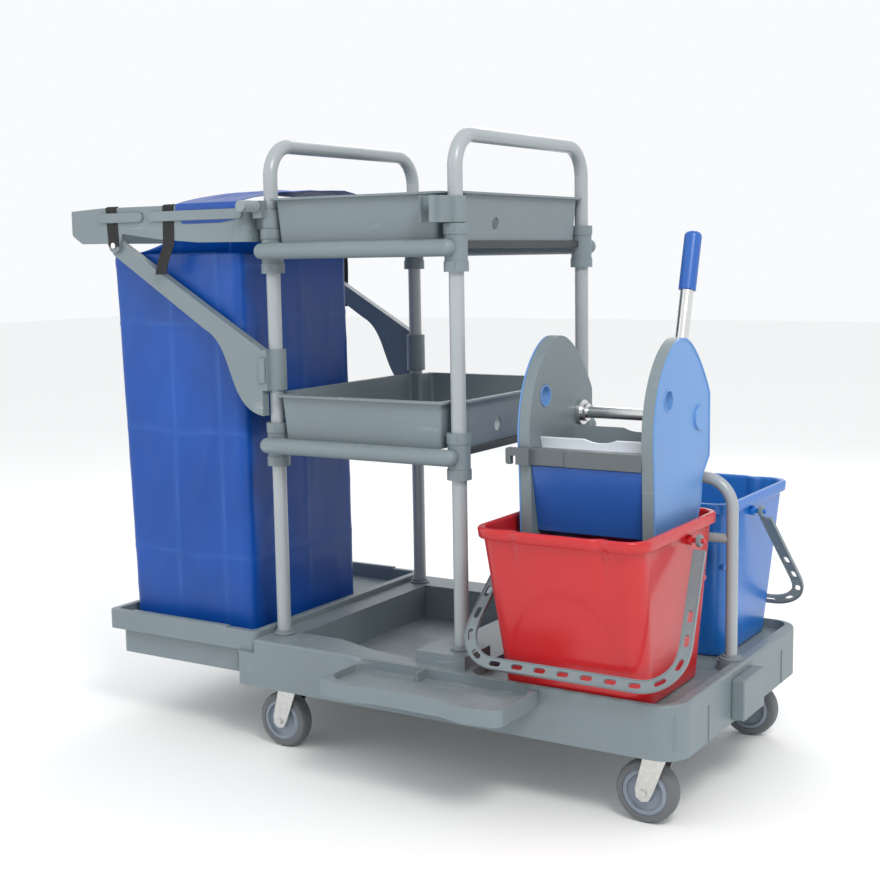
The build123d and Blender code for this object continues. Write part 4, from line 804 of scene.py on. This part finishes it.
def strap(name, path, width=0.026, thick=0.0013):
    """A webbing ribbon that follows (x, y, z) points, the x of each being its left edge."""
    bm = bmesh.new()
    last = [bm.verts.new(Vector(path[0]) + Vector((width * k / 6, 0, 0))) for k in range(7)]
    edges = [bm.edges.new(pair) for pair in zip(last, last[1:])]
    for point in path[1:]:
        made = bmesh.ops.extrude_edge_only(bm, edges=edges)["geom"]
        fresh = {item for item in made if isinstance(item, bmesh.types.BMVert)}
        last = [next(e.other_vert(v) for e in v.link_edges if e.other_vert(v) in fresh) for v in last]
        edges = [e for e in bm.edges if e.verts[0] in fresh and e.verts[1] in fresh]
        for k, vert in enumerate(last):
            vert.co = Vector(point) + Vector((width * k / 6, 0, 0))
    bmesh.ops.recalc_face_normals(bm, faces=bm.faces)
    bmesh.ops.solidify(bm, geom=bm.faces[:], thickness=thick)
    bmesh.ops.recalc_face_normals(bm, faces=bm.faces)
    mesh = bpy.data.meshes.new(name)
    bm.to_mesh(mesh)
    bm.free()
    mesh.shade_smooth()
    mesh.set_sharp_from_angle(angle=math.radians(50.0))
    piece = bpy.data.objects.new(name, mesh)
    bpy.context.scene.collection.objects.link(piece)
    return piece


def strap_round_arm(x, front, side, sway):
    """Points of a strap round an arm whose outer face is at y = front; side is -1 in front."""
    top, foot = frame_high[2] + 0.0012, frame_low[2] + 0.016
    outer, inner = front + side * 0.0014, front - side * 0.0094
    points = [(x, inner, foot + 0.004)]
    points += [(x, inner, foot + 0.02 + (top - foot - 0.022) * k / 6) for k in range(7)]
    points += [(x, (inner + outer) / 2, top + 0.0012), (x, outer, top - 0.001)]
    points += [(x + sway * k / 6, outer, top - 0.004 - (top - foot) * k / 6) for k in range(1, 7)]
    return points


strap_low, strap_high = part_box("bag_straps")
front_face, back_face = frame_low[1], frame_high[1]
corner_x, middle_x = strap_low[0] + 0.002, strap_high[0] - 0.026
tail = [(middle_x - 0.003 - 0.018 * k / 12, front_face - 0.0016 - 0.004 * math.sin(k / 12 * 2.6),
         frame_low[2] + 0.010 - 0.050 * k / 12) for k in range(1, 13)]
straps = [
    strap("front_corner_strap", strap_round_arm(corner_x, front_face, -1, 0.004)),
    strap("front_middle_strap", strap_round_arm(middle_x, front_face, -1, -0.002) + tail),
    strap("back_corner_strap", strap_round_arm(corner_x, back_face, 1, 0.004)),
    strap("back_middle_strap", strap_round_arm(middle_x, back_face, 1, 0.0)
          + [(middle_x, back_face + 0.0016 + 0.003 * math.sin(k / 2.4), frame_low[2] + 0.012 - 0.013 * k)
             for k in range(1, 11)]),
]
for piece in straps:
    show(piece, "root", "black_webbing", black_webbing)
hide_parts("bag_straps")
for node in ("front_knob", "back_knob"):
    rounded(node, 0.0012, "grey_plastic", pale_grey_plastic)

# Pale studio floor and soft lights; neither is part of the cart.
bpy.ops.mesh.primitive_plane_add(size=30.0)
floor = bpy.context.object
floor.name = "studio_floor"
paper = bpy.data.materials.new("studio_paper")
paper.use_nodes = True
paper.node_tree.nodes["Principled BSDF"].inputs["Base Color"].default_value = (0.93, 0.93, 0.92, 1.0)
paper.node_tree.nodes["Principled BSDF"].inputs["Roughness"].default_value = 0.9
floor.data.materials.append(paper)

world = bpy.data.worlds.new("studio")
world.use_nodes = True
world.node_tree.nodes["Background"].inputs["Color"].default_value = (0.97, 0.98, 1.0, 1.0)
world.node_tree.nodes["Background"].inputs["Strength"].default_value = 0.98
bpy.context.scene.world = world
bpy.context.scene.view_settings.view_transform = "Standard"


def soft_light(name, place, target, size, power, colour=(1.0, 1.0, 1.0)):
    """A square soft box at place that points at target."""
    lamp = bpy.data.lights.new(name, "AREA")
    lamp.size = size
    lamp.energy = power
    lamp.color = colour
    holder = bpy.data.objects.new(name, lamp)
    bpy.context.scene.collection.objects.link(holder)
    holder.location = place
    holder.rotation_euler = (Vector(target) - Vector(place)).to_track_quat("-Z", "Y").to_euler()
    return holder


middle = (cad_low + cad_high) / 2
soft_light("key", (1.9, -1.6, 2.6), middle, 0.9, 42.0, (1.0, 0.985, 0.96))
soft_light("fill", (-2.4, -2.4, 1.5), middle, 2.2, 14.0, (0.95, 0.98, 1.0))
soft_light("back", (-0.8, 2.6, 2.3), middle, 1.6, 20.0)

# The camera stands at a person's eye line, in front of the bucket end.
turn, nod, roll = -0.558, 0.130, 0.017
ahead = Vector((math.sin(turn) * math.cos(nod), math.cos(turn) * math.cos(nod), -math.sin(nod)))
level = Vector((math.cos(turn), -math.sin(turn), 0.0))
down = ahead.cross(level)
across = math.cos(roll) * level + math.sin(roll) * down
sink = -math.sin(roll) * level + math.cos(roll) * down
camera_data = bpy.data.cameras.new("camera")
camera_data.lens = 57.69
camera_data.sensor_width = 36.0
camera = bpy.data.objects.new("camera", camera_data)
bpy.context.scene.collection.objects.link(camera)
post_low, post_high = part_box("left_handle_tube")
eye = Vector(((post_low[0] + post_high[0]) / 2 + 1.560836, post_low[1] + 0.0125 - 1.95849, 0.875541))
camera.matrix_world = Matrix((
    (across.x, -sink.x, -ahead.x, eye.x),
    (across.y, -sink.y, -ahead.y, eye.y),
    (across.z, -sink.z, -ahead.z, eye.z),
    (0.0, 0.0, 0.0, 1.0)))
bpy.context.scene.camera = camera
